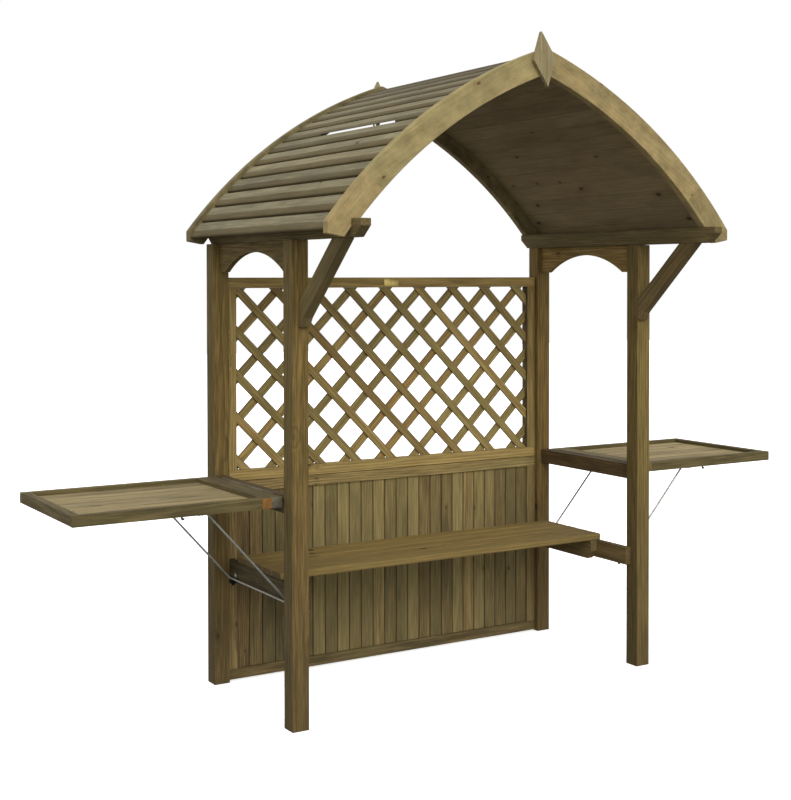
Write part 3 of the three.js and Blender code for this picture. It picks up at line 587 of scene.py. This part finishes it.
# The pointed arches, and the arc that the roof boards follow
arch = {
    "eaves": (0.800, 1.611),
    "ridge": (0.0, 2.182),
    "radius": 1.7065,
    "depth": 0.080,
    "seatDepth": 0.051,  # from the arch's inner edge to the roof boards
    "jointShare": 0.2,  # where the two boards of one half meet
    "ease": 0.002,
    # tone and hue of the lower and the upper board of each half, and of the diamond boards
    "tones": {("front", "left"): ((-0.1, 0.2), (0.1, 0.5)),
              ("front", "right"): ((-0.9, 0.2), (-0.5, 0.1)),
              # the back arch's boards have low tones: painted shade under the roof
              ("back", "left"): ((-2.6, 0.5), (-2.6, 0.5)),
              ("back", "right"): ((-2.4, 0.3), (-2.2, 0.3))},
    "finialEase": 0.0012,
    "finial": (0.2, 0.4),
}


def findArchCentre():
    eaves = Vector(arch["eaves"])
    ridge = Vector(arch["ridge"])
    chord = ridge - eaves
    depth = math.sqrt(arch["radius"] ** 2 - chord.length_squared / 4)
    inward = Vector((-chord.y, chord.x)).normalized()
    return (eaves + ridge) / 2 + inward * depth


archCentre = findArchCentre()


def angleAt(point):
    return math.atan2(point[1] - archCentre.y, point[0] - archCentre.x)


# One half of an arch, of two boards end to end, each with a straight grain of its own.
def buildBargeboard(end, side, sign):
    node = f"bargeboard_{end}_{side}"
    bm = copyNode(node)
    bevelEdges(bm, sharpEdges(bm), arch["ease"])
    low = angleAt(arch["eaves"])
    high = angleAt(arch["ridge"])
    joint = low + (high - low) * arch["jointShare"]
    centre = Vector((sign * archCentre.x, 0, archCentre.y))
    cutNormal = Vector((-sign * math.sin(joint), 0, math.cos(joint)))
    bmesh.ops.bisect_plane(bm, geom=bm.verts[:] + bm.edges[:] + bm.faces[:],
                           dist=meshWork["mergeDistance"], plane_co=centre,
                           plane_no=cutNormal)
    halves = {True: [], False: []}
    for face in bm.faces:
        halves[(face.calc_center_median() - centre).dot(cutNormal) > 0].append(face)
    for upper, faces in halves.items():
        middle = (joint + (high if upper else low)) / 2
        along = Vector((-sign * math.sin(middle), 0, math.cos(middle)))
        tone, hue = arch["tones"][end, side][upper]
        layGrain(bm, faces, along, along.cross(axisY), tone, hue)
    finishNode(bm, node, bargePine)


for end in ("front", "back"):
    for side, sign in sides.items():
        buildBargeboard(end, side, sign)
    easeNode("finial_" + end, finialPine, "finial_timber", axisZ, axisX, arch["finialEase"],
             *arch["finial"])
print("arches are done")


# Roof boards, one by one from the eaves to the ridge
roofBoard = {
    "pitch": 0.0725,
    "seatRadius": arch["radius"] - arch["depth"] + arch["seatDepth"],
    "startHeight": 1.590,  # of the lowest board's inside edge
    # one board's section, up the slope and outwards from its inside face
    "section": ((0.0004, 0), (0.0721, 0), (0.0721, 0.0040), (0.0637, 0.0042), (0.058, 0.0075),
                (0.053, 0.0130), (0.049, 0.0160), (0.042, 0.0160), (0.0175, 0.0160),
                (0.0155, 0.0160), (0.003, 0.0159), (-0.005, 0.0153), (-0.009, 0.0130),
                (-0.009, 0.0060), (-0.0080, 0.0047), (0.0004, 0.0047)),
    "nose": (0.009, 0.0045),  # how far the nose reaches down the slope, and its underside
    "ridgeGap": 0.0002,
    # painted shade by the height up the board, from its rounded nose to its scooped upper edge:
    # dark over the nose and the lowest part of the face, a little in the scoop
    "dirt": ((-0.009, 1.0), (-0.005, 1.0), (0.003, 1.0), (0.0155, 0.9), (0.0175, 0.0),
             (0.042, 0.0), (0.049, 0.05), (0.058, 0.25)),
    "shadeBandSlack": 0.0005,
    "hueSpan": (0.2, 0.7),
    # the boards by the ridge are darker on top
    "ridgeStart": 7,
    "ridgeCount": 6,
    "topDirt": 0.95,
    "ridgeTone": -2.2,
    # no weather has greyed the inside
    "insideDepth": 0.002,
    # painted shade on the inside faces, at most this much for a board
    "insidePaintedShade": 0.4,
    "insideShift": (2.2, -1.0, 0),  # of its tone and hue
    "openBoard": 7,
    "slitWidth": 0.011,
    "slitSlant": 23,
    "shavedTongue": 0.0009,  # height of the tongue's end in the slit
    "slitStart": 0.203,  # from the front ends of the boards
    "slitEnd": 0.291,  # from their back ends
    "tieStart": 0.340,  # the short tie that is left across the slit
    "tieWidth": 0.0025,
    "tieDepth": 0.0025,
}
# The angles of the lowest board and of one board on the arc
roofStart = math.asin((roofBoard["startHeight"] - archCentre.y) / roofBoard["seatRadius"])
roofStep = 2 * math.asin(roofBoard["pitch"] / 2 / roofBoard["seatRadius"])


# A board's lower inside corner, its way up the slope and its way out
def boardFrame(index):
    angle = roofStart + index * roofStep
    reach = roofBoard["seatRadius"]
    corner = archCentre + Vector((math.cos(angle), math.sin(angle))) * reach
    outward = Vector((math.cos(angle + roofStep / 2), math.sin(angle + roofStep / 2)))
    upward = Vector((-outward.y, outward.x))
    return corner, upward, outward


def boardPoint(index, sign, along, out, y):
    corner, upward, outward = boardFrame(index)
    point = corner + upward * along + outward * out
    return Vector((sign * point.x, y, point.y))


# Draws one length of a board and keeps only what lies behind the given planes.
def addRoofLength(bm, index, sign, spanY, planes=(), tongue=None):
    section = list(roofBoard["section"])
    if tongue is not None:
        section[2] = (section[2][0], tongue)
    ring = [bm.verts.new(boardPoint(index, sign, along, out, spanY[0]))
            for along, out in section]
    face = bm.faces.new(ring)
    drawn = bmesh.ops.extrude_face_region(bm, geom=[face])
    moved = pick(drawn["geom"], bmesh.types.BMVert)
    bmesh.ops.translate(bm, vec=(0, spanY[1] - spanY[0], 0), verts=moved)
    verts = set(ring + moved)
    for point, normal in planes:
        geom = list(verts)
        geom += [part for part in bm.edges[:] + bm.faces[:] if part.verts[0] in verts]
        kept, cutEdges = cutAway(bm, geom, point, normal)
        verts = {vert for vert in pick(kept, bmesh.types.BMVert) if vert.is_valid}
        verts |= {vert for edge in cutEdges if edge.is_valid for vert in edge.verts}
    faces = [face for face in bm.faces if face.verts[0] in verts]
    bmesh.ops.recalc_face_normals(bm, faces=faces)
    return faces


# The open joint's stretches along the slope: from, to, and what is there.
def slitStretches(front, back):
    tie = front + roofBoard["tieStart"]
    half = roofBoard["tieWidth"] / 2
    start = front + roofBoard["slitStart"]
    stop = back - roofBoard["slitEnd"]
    return [(front, start, "solid"), (start, tie - half, "slit"),
            (tie - half, tie + half, "tie"), (tie + half, stop, "slit"), (stop, back, "solid")]


# The lengths of one board: a single one, or several where the open joint runs along it. The slit
# lies under the nose of the open board, and the board below it is shaved to a thin tongue.
def cutRoofBoard(bm, index, sign, last, origin, up, out):
    front, back = (corner.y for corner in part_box("roof_boards_left"))
    above = index - roofBoard["openBoard"]  # 0 for the open board, -1 for the one below it
    if sign > 0 or above not in (-1, 0):
        ridge = Vector((sign * roofBoard["ridgeGap"], 0, 0))
        planes = [(ridge, Vector((-sign, 0, 0)))] if last else []
        return addRoofLength(bm, index, sign, (front, back), planes)
    slant = math.radians(roofBoard["slitSlant"])
    wide = up * math.sin(slant) + out * math.cos(slant)
    run = up * math.cos(slant) - out * math.sin(slant)
    low = origin - up * roofBoard["nose"][0] + out * roofBoard["nose"][1]
    high = low + wide * roofBoard["slitWidth"]
    deep = low + run * roofBoard["tieDepth"]
    faces = []
    for start, stop, kind in slitStretches(front, back):
        cuts = [[]]
        if kind != "solid" and above == 0:
            cuts = [[(low, wide)], [(high, -wide)]]
        if kind == "tie" and above == 0:
            cuts.append([(low, -wide), (high, wide), (deep, run)])
        tongue = roofBoard["shavedTongue"] if kind != "solid" and above < 0 else None
        for planes in cuts:
            faces += addRoofLength(bm, index, sign, (start, stop), planes, tongue)
    return [face for face in faces if face.is_valid]


def addRoofBoard(bm, index, sign, last):
    corner, upward, outward = boardFrame(index)
    up = Vector((sign * upward.x, 0, upward.y))
    out = Vector((sign * outward.x, 0, outward.y))
    origin = Vector((sign * corner.x, 0, corner.y))
    faces = cutRoofBoard(bm, index, sign, last, origin, up, out)
    if not faces:
        return
    ridgeShare = max(0, index - roofBoard["ridgeStart"]) / roofBoard["ridgeCount"]
    insidePaintedShade = chance.uniform(0, roofBoard["insidePaintedShade"])

    def isInside(loop):
        return (loop.vert.co - origin).dot(out) < roofBoard["insideDepth"]

    # Painted shade on the inside and along the nose and scoop; the boards by the ridge are also
    # darker on top.
    def boardDarkeningAt(loop):
        if isInside(loop):
            return insidePaintedShade
        height = (loop.vert.co - origin).dot(up)
        found = roofBoard["dirt"][-1][1]
        for reach, amount in reversed(roofBoard["dirt"]):
            if height < reach + roofBoard["shadeBandSlack"]:
                found = amount
        return min(1, found + ridgeShare * roofBoard["topDirt"])

    topShift = Vector((ridgeShare * roofBoard["ridgeTone"], 0, 0))
    layGrain(bm, faces, axisY, up, chance.uniform(-1, 1) + topShift.x,
             chance.uniform(*roofBoard["hueSpan"]), boardDarkeningAt)
    toneLayer = bm.loops.layers.float_vector["boardTone"]
    for loop in [loop for face in faces for loop in face.loops]:
        if isInside(loop):
            loop[toneLayer] += Vector(roofBoard["insideShift"]) - topShift


def buildRoofSlope(side, sign):
    ridgeAngle = math.acos(-archCentre.x / roofBoard["seatRadius"])
    count = math.ceil((ridgeAngle - roofStart) / roofStep)
    bm = startBoards()
    for index in range(count + 1):
        addRoofBoard(bm, index, sign, index >= count - 1)
    finishPiece(bm, "roofBoards" + side.capitalize(), ["roof_boards_" + side], roofPine)
    print("roof boards", side, count + 1)


for side, sign in sides.items():
    buildRoofSlope(side, sign)


# The framed back
def addBlock(bm, low, high, ease=0.0, segments=2):
    cube = bmesh.ops.create_cube(bm, size=1)
    size = Vector(high) - Vector(low)
    bmesh.ops.scale(bm, vec=size, verts=cube["verts"])
    bmesh.ops.translate(bm, vec=(Vector(low) + Vector(high)) / 2, verts=cube["verts"])
    edges = {edge for vert in cube["verts"] for edge in vert.link_edges}
    faces = {face for vert in cube["verts"] for face in vert.link_faces}
    if not ease:
        return list(faces)
    known = set(bm.faces) - faces
    bevelEdges(bm, list(edges), ease, segments)
    return newFaces(bm, known)


# A block given for the right side, or its mirror image on the left.
def addSideBlock(bm, sign, low, high, ease):
    near, far = sorted((sign * low[0], sign * high[0]))
    return addBlock(bm, (near, *low[1:]), (far, *high[1:]), ease)


backFrame = {
    "stileHue": 0.2,
    "railHue": 0.25,
    "railTone": 0.8,
    "footRailTone": -1.1,
}

for prefix, timber, slot in (("back_panel", panelPine, "panel_timber"),
                             ("trellis", trellisPine, "trellis_timber")):
    for side in sides:
        easeNode(f"{prefix}_stile_{side}", timber, slot, axisZ, axisX,
                 hue=backFrame["stileHue"], dirtAndShadeAt=sideShade if prefix == "trellis" else None)
    for rail in ("top", "bottom"):
        byGround = rail == "bottom" and prefix == "back_panel"
        easeNode(f"{prefix}_{rail}_rail", timber, slot, axisX, axisZ,
                 tone=backFrame["footRailTone" if byGround else "railTone"],
                 hue=backFrame["railHue"])

matchboard = {
    "count": 25,
    "gap": 0.0016,
    "vee": 0.0018,
    "tongue": 0.004,
    "shaded": 4,  # boards at the left end that are darker than the rest
    "shadedTone": 0.9,
    "hueSpan": (0.1, 0.9),
}


# Dirt lies in the vees and on the matchboards' cut edges, and painted shade on the laths' cut
# edges: on all but the broad faces.
def jointDirtAndShade(loop):
    return 0.0 if abs(loop.face.normal.y) > dirtAndShadeLook["broad"] else dirtAndShadeLook["joints"]


def buildMatchboards():
    low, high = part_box("back_panel_boards")
    pitch = (high.x - low.x) / matchboard["count"]
    half = matchboard["gap"] / 2
    bm = startBoards()
    for index in range(matchboard["count"]):
        left = low.x + index * pitch + (half if index else 0)
        right = low.x + (index + 1) * pitch - (half if index < matchboard["count"] - 1 else 0)
        faces = set(addBlock(bm, (left, low.y, low.z), (right, high.y, high.z)))
        upright = {edge for face in faces for edge in face.edges
                   if abs((edge.verts[0].co - edge.verts[1].co).z) > pitch}
        others = set(bm.faces) - faces
        bevelEdges(bm, list(upright), matchboard["vee"], 1)
        if index < matchboard["count"] - 1:
            middle = (low.y + high.y) / 2
            reach = matchboard["tongue"] / 2
            addBlock(bm, (right - reach, middle - reach, low.z),
                     (right + reach, middle + reach, high.z))
        board = newFaces(bm, others)
        bm.normal_update()
        shade = matchboard["shadedTone"] if index < matchboard["shaded"] else 0
        layGrain(bm, board, axisZ, axisX, chance.uniform(-1, 1) - shade,
                 chance.uniform(*matchboard["hueSpan"]), jointDirtAndShade)
    finishPiece(bm, "matchboards", ["back_panel_boards"], panelPine)


lath = {
    "width": 0.030,
    "thickness": 0.008,
    "spacing": 0.1091,
    "inset": 0.010,
    "fallingShift": -0.0055,
    "risingShift": 0.0165,
    "ease": 0.0008,
    "hueSpan": (0, 0.7),
}


# One lath, drawn long and sawn off at the four sides of the opening.
def addLath(bm, slant, offset, depthY, low, high):
    reach = (high - low).length
    known = set(bm.faces)
    addBlock(bm, (-reach, -lath["thickness"] / 2, -lath["width"] / 2),
             (reach, lath["thickness"] / 2, lath["width"] / 2), lath["ease"], 1)
    verts = list({vert for face in newFaces(bm, known) for vert in face.verts})
    middle = (low + high) / 2
    turn = Matrix.Rotation(slant, 4, "Y")
    bmesh.ops.translate(bm, vec=(0, 0, offset), verts=verts)
    bmesh.ops.transform(bm, matrix=turn, verts=verts)
    bmesh.ops.translate(bm, vec=(middle.x, depthY, middle.z), verts=verts)
    for point, normal in ((low, -axisX), (high, axisX), (low, -axisZ), (high, axisZ)):
        faces = newFaces(bm, known)
        if not faces:
            return
        edges = list({edge for face in faces for edge in face.edges})
        corners = list({vert for face in faces for vert in face.verts})
        cutAway(bm, corners + edges + faces, point, normal)
    faces = newFaces(bm, known)
    if faces:
        bmesh.ops.recalc_face_normals(bm, faces=faces)
        layGrain(bm, faces, turn @ axisX, turn @ axisZ,
                 hue=chance.uniform(*lath["hueSpan"]), dirtAndShadeAt=jointDirtAndShade)


def buildLattice():
    low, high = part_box("trellis_lattice")
    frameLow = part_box("trellis_stile_left")[0]
    count = math.ceil((high - low).length / 2 / lath["spacing"]) + 1
    frontY = frameLow.y + lath["inset"] + lath["thickness"] / 2
    bm = startBoards()
    for slant, shift, depthY in ((math.pi / 4, lath["fallingShift"], frontY),
                                 (-math.pi / 4, lath["risingShift"],
                                  frontY + lath["thickness"])):
        for row in range(-count, count + 1):
            addLath(bm, slant, shift + row * lath["spacing"], depthY, low, high)
    finishPiece(bm, "trellisLaths", ["trellis_lattice"], trellisPine)


def buildMetalNode(node, material, ease=meshWork["metalEase"]):
    bm = copyNode(node)
    if ease:
        bevelEdges(bm, sharpEdges(bm, meshWork["roundSharpAngle"]), ease)
    return finishNode(bm, node, material, smooth=True)


buildMatchboards()
buildLattice()
buildMetalNode("trellis_plaque", plainBrass)
print("back is done")


# Seat
seat = {
    "slatCount": 5,
    "slatEase": 0.004,
    "slatHueSpan": (0.1, 0.4),
    # tone and hue of each seat rail
    "rails": {"left": (-2.4, 1.4), "right": (-0.1, 0.0)},
    "clipWidth": 0.020,
    "clipPlate": 0.0025,
    "clipOffset": 0.018,
    "railTop": 0.441,
    "railBottom": 0.376,
    "railOuter": 0.685,
    "clipReach": 0.024,
    "clipLow": 0.3702,
    "clipLedge": 0.3822,
    "clipHigh": 0.4032,
    "clipEase": 0.001,
    "domeX": 0.697,
    # radii and heights of a dome nut under a clip, and of a screw head with its washer
    "dome": ((0.0, 0.0095), (0.0028, 0.0088), (0.0050, 0.0068), (0.0060, 0.0038),
             (0.0066, 0.0034), (0.0066, 0.0), (0.0, 0.0)),
    "screwZ": 0.3945,
    "screw": ((0.0, 0.0048), (0.0026, 0.0046), (0.0052, 0.0034), (0.0064, 0.0016),
              (0.0108, 0.0014), (0.0114, 0.0007), (0.0114, 0.0), (0.0, 0.0)),
}

for slat in range(1, seat["slatCount"] + 1):
    easeNode(f"seat_slat_{slat}", seatPine, "seat_timber", axisX, axisY, seat["slatEase"],
             hue=chance.uniform(*seat["slatHueSpan"]), dirtAndShadeAt=sideShade)


# A short turned piece, such as a screw head or a dome, on an axis, from radii along its length.
def addTurned(bm, centre, axis, profile, segments=20):
    turn = axisZ.rotation_difference(axis).to_matrix().to_4x4()
    place = Matrix.Translation(centre) @ turn
    verts = [bm.verts.new(place @ Vector((radius, 0, height))) for radius, height in profile]
    edges = [bm.edges.new(pair) for pair in zip(verts, verts[1:])]
    bmesh.ops.spin(bm, geom=verts + edges, cent=centre, axis=axis, angle=math.tau,
                   steps=segments, use_merge=True)
    bmesh.ops.remove_doubles(bm, verts=bm.verts, dist=meshWork["mergeDistance"])
    bmesh.ops.recalc_face_normals(bm, faces=bm.faces[:])


def buildSeatRail(side, sign):
    node = "seat_rail_" + side
    low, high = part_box(node)
    inner = min(abs(low.x), abs(high.x))
    bm = startBoards()
    faces = addSideBlock(bm, sign, (inner, low.y, seat["railBottom"]),
                         (seat["railOuter"], high.y, seat["railTop"]), planedEase)
    layGrain(bm, faces, axisY, axisZ, *seat["rails"][side])
    finishNode(bm, node, railPine)
    outward = Vector((sign, 0, 0))
    for end in (-1, 1):
        name = side.capitalize() + ("Front" if end < 0 else "Back")
        clipY = middleY + end * (stayArm - seat["clipOffset"])
        half = seat["clipWidth"] / 2
        outer = seat["railOuter"]
        clip = startBoards()
        for depth, highZ in ((seat["clipPlate"], seat["clipHigh"]),
                             (seat["clipReach"], seat["clipLedge"])):
            addSideBlock(clip, sign, (outer, clipY - half, seat["clipLow"]),
                         (outer + depth, clipY + half, highZ), seat["clipEase"])
        addTurned(clip, Vector((sign * seat["domeX"], clipY, seat["clipLow"])), -axisZ,
                  seat["dome"])
        finishPiece(clip, "stayClip" + name, [node], blackSteel, smooth=True)
        screw = startBoards()
        addTurned(screw, Vector((sign * (outer + seat["clipPlate"]), clipY, seat["screwZ"])),
                  outward, seat["screw"])
        finishPiece(screw, "clipScrew" + name, [node], zincSteel, smooth=True)


for side, sign in sides.items():
    buildSeatRail(side, sign)
print("seat is done")


# Side tables
table = {
    "deckSlats": 7,
    "deckGap": 0.0085,
    "deckTop": 0.7315,
    "deckThickness": 0.009,
    "deckEase": 0.0015,
    "deckHueSpan": (0.1, 0.6),
    "rightDeckTone": 0.7,  # lighter than the left deck
    # battens under the deck: places as shares of its length, and half sizes along X and Y
    "battenShares": (0.22, 0.8),
    "battenHalfWidth": 0.020,
    "battenHalfLength": 0.222,
    "battenEase": 0.0012,
    # tone of each inner member, and the hue of it and of the rails
    "innerTone": {"left": -0.4, "right": 1.6},
    "innerHue": 0.3,
    "railHue": 0.4,
    "frontNormal": -0.9,  # of a face that looks to the front
}


# Painted shade between the slats, on their sides.
def slatGapShade(loop):
    return dirtAndShadeLook["slats"] * max(0.0, 1 - abs(loop.face.normal.z) * dirtAndShadeLook["slatFade"])


def buildDeck(side, sign):
    node = "table_deck_" + side
    low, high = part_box(node)
    bm = startBoards()
    width = (high.y - low.y - (table["deckSlats"] - 1) * table["deckGap"]) / table["deckSlats"]
    under = table["deckTop"] - table["deckThickness"]
    for index in range(table["deckSlats"]):
        edge = low.y + index * (width + table["deckGap"])
        known = set(bm.faces)
        addBlock(bm, (low.x, edge, under), (high.x, edge + width, table["deckTop"]),
                 table["deckEase"])
        bm.normal_update()
        tone = chance.uniform(-1, 1) + (table["rightDeckTone"] if sign > 0 else 0)
        layGrain(bm, newFaces(bm, known), axisX, axisY, tone,
                 chance.uniform(*table["deckHueSpan"]), slatGapShade)
    length = high.x - low.x
    halfWidth = table["battenHalfWidth"]
    halfLength = table["battenHalfLength"]
    for share in table["battenShares"]:
        x = low.x + length * (share if sign > 0 else 1 - share)
        known = set(bm.faces)
        addBlock(bm, (x - halfWidth, middleY - halfLength, low.z),
                 (x + halfWidth, middleY + halfLength, under), table["battenEase"])
        layGrain(bm, newFaces(bm, known), axisY, axisX)
    finishNode(bm, node, tablePine)


# The bent rods that hold the tables, and how they and the hooks are drawn
stay = {
    "radius": 0.0035,
    "bend": 0.006,
    "bendSteps": 6,
    "pivot": (1.0035, 0.718),
    "bar": (0.702, 0.386),
    "pinEnd": 0.2615,
}


# A bent rod, drawn from its start by straight lengths and round bends in turn.
def drawRod(bm, start, direction, radius, steps, segments=16):
    direction = direction.normalized()
    turn = axisZ.rotation_difference(direction).to_matrix().to_4x4()
    ring = bmesh.ops.create_circle(bm, cap_ends=True, radius=radius, segments=segments,
                                   matrix=Matrix.Translation(start) @ turn)
    verts = ring["verts"]
    edges = [edge for edge in bm.edges if edge.verts[0] in verts and edge.verts[1] in verts]
    point = Vector(start)
    for kind, first, second in steps:
        if kind == "straight":
            drawn = bmesh.ops.extrude_edge_only(bm, edges=edges)
            verts = pick(drawn["geom"], bmesh.types.BMVert)
            bmesh.ops.translate(bm, vec=direction * first, verts=verts)
            found = set(verts)
            edges = [edge for edge in pick(drawn["geom"], bmesh.types.BMEdge)
                     if edge.verts[0] in found and edge.verts[1] in found]
            point = point + direction * first
        else:
            heading, bendRadius = first, second
            axis = direction.cross(heading).normalized()
            angle = direction.angle(heading)
            centre = point + axis.cross(direction) * bendRadius
            drawn = bmesh.ops.spin(bm, geom=verts + edges, cent=centre, axis=axis,
                                   angle=angle, steps=stay["bendSteps"], use_merge=False)
            verts = pick(drawn["geom_last"], bmesh.types.BMVert)
            edges = pick(drawn["geom_last"], bmesh.types.BMEdge)
            swing = Matrix.Rotation(angle, 3, axis)
            point = centre + swing @ (point - centre)
            direction = swing @ direction
    bmesh.ops.holes_fill(bm, edges=edges, sides=0)
    bmesh.ops.recalc_face_normals(bm, faces=bm.faces[:])


# The rod's path as straight lengths between corners, each corner rounded.
def rodSteps(corners, bend):
    steps = []
    carried = 0
    for index in range(1, len(corners)):
        before = corners[index] - corners[index - 1]
        setBack = 0
        if index < len(corners) - 1:
            after = corners[index + 1] - corners[index]
            setBack = bend * math.tan(before.angle(after) / 2)
        steps.append(("straight", before.length - carried - setBack, 0))
        if index < len(corners) - 1:
            steps.append(("bend", after.normalized(), bend))
        carried = setBack
    return steps


def buildStay(side, sign):
    pivotX, pivotZ = stay["pivot"]
    barX, barZ = stay["bar"]
    corners = [Vector((sign * x, middleY + y, z)) for x, y, z in (
        (pivotX, -stay["pinEnd"], pivotZ), (pivotX, -stayArm, pivotZ),
        (barX, -stayArm, barZ), (barX, stayArm, barZ),
        (pivotX, stayArm, pivotZ), (pivotX, stay["pinEnd"], pivotZ))]
    bm = startBoards()
    drawRod(bm, corners[0], corners[1] - corners[0], stay["radius"],
            rodSteps(corners, stay["bend"]))
    finishPiece(bm, "tableStay" + side.capitalize(), ["table_stay_" + side], zincSteel,
                smooth=True)


fittings = {
    "eyeLength": 0.030,
    "eyeHalfWidth": 0.007,
    "eyeThickness": 0.0032,
    "eyeOut": 0.0125,  # from the stay's arm to the middle of the plate
    "eyeBack": 0.004,  # past the pivot, towards the seat
    "eyeEase": 0.0007,
    "eyeScrews": (0.012, 0.023),  # from the pivot
    "eyeScrew": ((0.0, 0.0018), (0.0026, 0.0014), (0.0036, 0.0), (0.0, 0.0)),
    "hookWire": 0.0030,
    "hookDrop": 0.0090,
    "hookSpan": 0.0065,
    "hookTip": 0.0040,
    "hookBend": 0.0031,
    "collar": ((0.0, 0.0022), (0.0030, 0.0020), (0.0042, 0.0010), (0.0045, 0.0), (0.0, 0.0)),
    "collarReach": 0.006,  # of the CAD hook's collar from its wire
    "hookSunk": 0.0004,
}


# The small steel plate under a rail that keeps a stay's pin in its bore.
def buildStayEyes(side, sign):
    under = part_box("table_front_rail_" + side)[0].z
    pivotX = stay["pivot"][0]
    for end, rail in ((-1, "Front"), (1, "Back")):
        bm = startBoards()
        railY = middleY + end * (stayArm + fittings["eyeOut"])
        half = fittings["eyeHalfWidth"]
        bottom = under - fittings["eyeThickness"]
        addSideBlock(bm, sign, (pivotX - fittings["eyeBack"], railY - half, bottom),
                     (pivotX + fittings["eyeLength"], railY + half, under), fittings["eyeEase"])
        for along in fittings["eyeScrews"]:
            addTurned(bm, Vector((sign * (pivotX + along), railY, bottom)), -axisZ,
                      fittings["eyeScrew"], 12)
        finishPiece(bm, f"stayEye{rail}{side.capitalize()}",
                    [f"table_{rail.lower()}_rail_{side}"], zincPlate, smooth=True)


def buildHook(side):
    node = "table_hook_" + side
    low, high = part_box(node)
    top = Vector((low.x + fittings["collarReach"], (low.y + high.y) / 2,
                  high.z - fittings["hookSunk"]))
    foot = top - axisZ * fittings["hookDrop"]
    toe = foot + axisX * fittings["hookSpan"]
    corners = [top, foot, toe, toe + axisZ * fittings["hookTip"]]
    bm = startBoards()
    drawRod(bm, corners[0], -axisZ, fittings["hookWire"],
            rodSteps(corners, fittings["hookBend"]), 12)
    addTurned(bm, top, -axisZ, fittings["collar"], 16)
    finishNode(bm, node, blackSteel, smooth=True)


# The left inner member's front end is bare of treatment where its plate was let in.
def buildInnerMember(side, sign):
    node = "table_inner_member_" + side
    piece = easeNode(node, tableRailPine, "table_timber", axisY, axisX,
                     tone=table["innerTone"][side], hue=table["innerHue"])
    piece.data.materials.append(barePine)
    for face in piece.data.polygons:
        if sign < 0 and face.normal.y < table["frontNormal"]:
            face.material_index = 1


for side, sign in sides.items():
    buildInnerMember(side, sign)
    for rail, along, across in (("front", axisX, axisZ), ("back", axisX, axisZ),
                                ("outer", axisY, axisX)):
        easeNode(f"table_{rail}_rail_{side}", tableRailPine, "table_timber", along, across,
                 hue=table["railHue"])
    buildDeck(side, sign)
    buildStay(side, sign)
    buildStayEyes(side, sign)
    buildHook(side)
    buildMetalNode("table_end_plate_" + side, zincPlate)
    buildMetalNode("hinge_fixed_leaf_" + side, zincPlate, ease=0)
    buildMetalNode("hinge_moving_leaf_" + side, zincPlate, ease=0)
print("tables are done")


# Plain white studio, lit from a pale dome and one soft lamp beside the camera. The ground that
# the object stood on was dark, so little light comes from below.
studio = {
    "domeStrength": 1.0,
    "lowStrength": 0.24,  # of the light from below
    "domeEdge": -0.13,  # the dome is white down to here, as the height of a unit vector
    "lowEdge": -0.35,
    "floorSize": 40,
    "floorColour": (0.9, 0.9, 0.9, 1),
    "floorRoughness": 0.9,
    "floorGlow": 0.6,  # keeps the floor nearly white in the shadows
    "sunStrength": 1.9,
    "sunSize": 45,  # degrees across, which keeps its shadows soft
    "sunHeight": 38,
    "sunTurn": -14,  # from straight in front, towards the left
    "cameraPlace": (-2.7247, -4.0455, 1.4448),
    "cameraTurn": (88.87, 0.07, -31.36),
    "focalPixels": 1377.9,
    "imageHeight": 800,
    "sensorHeight": 36,
    "middleRow": 304.9,  # the row of the picture that the camera is level with
}


def buildDome(scene):
    world = bpy.data.worlds.new("white studio")
    world.use_nodes = True
    tree = world.node_tree
    tree.nodes.clear()
    outlook = addNode(tree, "TexCoord").outputs["Generated"]
    height = addNode(tree, "SeparateXYZ", {0: outlook}).outputs["Z"]
    strength = spread(tree, height, studio["lowEdge"], studio["domeEdge"],
                      studio["lowStrength"], studio["domeStrength"])
    sky = addNode(tree, "Background", {"Color": (1, 1, 1, 1), "Strength": strength})
    addNode(tree, "OutputWorld", {"Surface": sky.outputs[0]})
    scene.world = world


def buildFloor(scene):
    bm = bmesh.new()
    bmesh.ops.create_grid(bm, x_segments=1, y_segments=1, size=studio["floorSize"] / 2)
    mesh = bpy.data.meshes.new("studioFloor")
    bm.to_mesh(mesh)
    bm.free()
    floor = bpy.data.objects.new("studioFloor", mesh)
    scene.collection.objects.link(floor)
    material, tree, shader = startMaterial("pale floor")
    shader.inputs["Base Color"].default_value = studio["floorColour"]
    shader.inputs["Roughness"].default_value = studio["floorRoughness"]
    shader.inputs["Emission Color"].default_value = (1, 1, 1, 1)
    shader.inputs["Emission Strength"].default_value = studio["floorGlow"]
    mesh.materials.append(material)
    floor.visible_diffuse = False
    floor.visible_glossy = False


def buildStudio():
    scene = bpy.context.scene
    scene.view_settings.view_transform = "Standard"
    buildDome(scene)
    buildFloor(scene)

    sun = bpy.data.lights.new("softSun", "SUN")
    sun.energy = studio["sunStrength"]
    sun.angle = math.radians(studio["sunSize"])
    lamp = bpy.data.objects.new("softSun", sun)
    lamp.rotation_euler = (math.radians(90 - studio["sunHeight"]), 0,
                           math.radians(studio["sunTurn"]))
    scene.collection.objects.link(lamp)

    lens = bpy.data.cameras.new("photoCamera")
    lens.sensor_fit = "VERTICAL"
    lens.sensor_height = studio["sensorHeight"]
    lens.lens = studio["sensorHeight"] * studio["focalPixels"] / studio["imageHeight"]
    lens.shift_y = (studio["middleRow"] - studio["imageHeight"] / 2) / studio["imageHeight"]
    camera = bpy.data.objects.new("photoCamera", lens)
    camera.location = studio["cameraPlace"]
    camera.rotation_euler = [math.radians(turn) for turn in studio["cameraTurn"]]
    scene.collection.objects.link(camera)
    scene.camera = camera


buildStudio()
bpy.context.view_layer.update()
print("scene is ready")
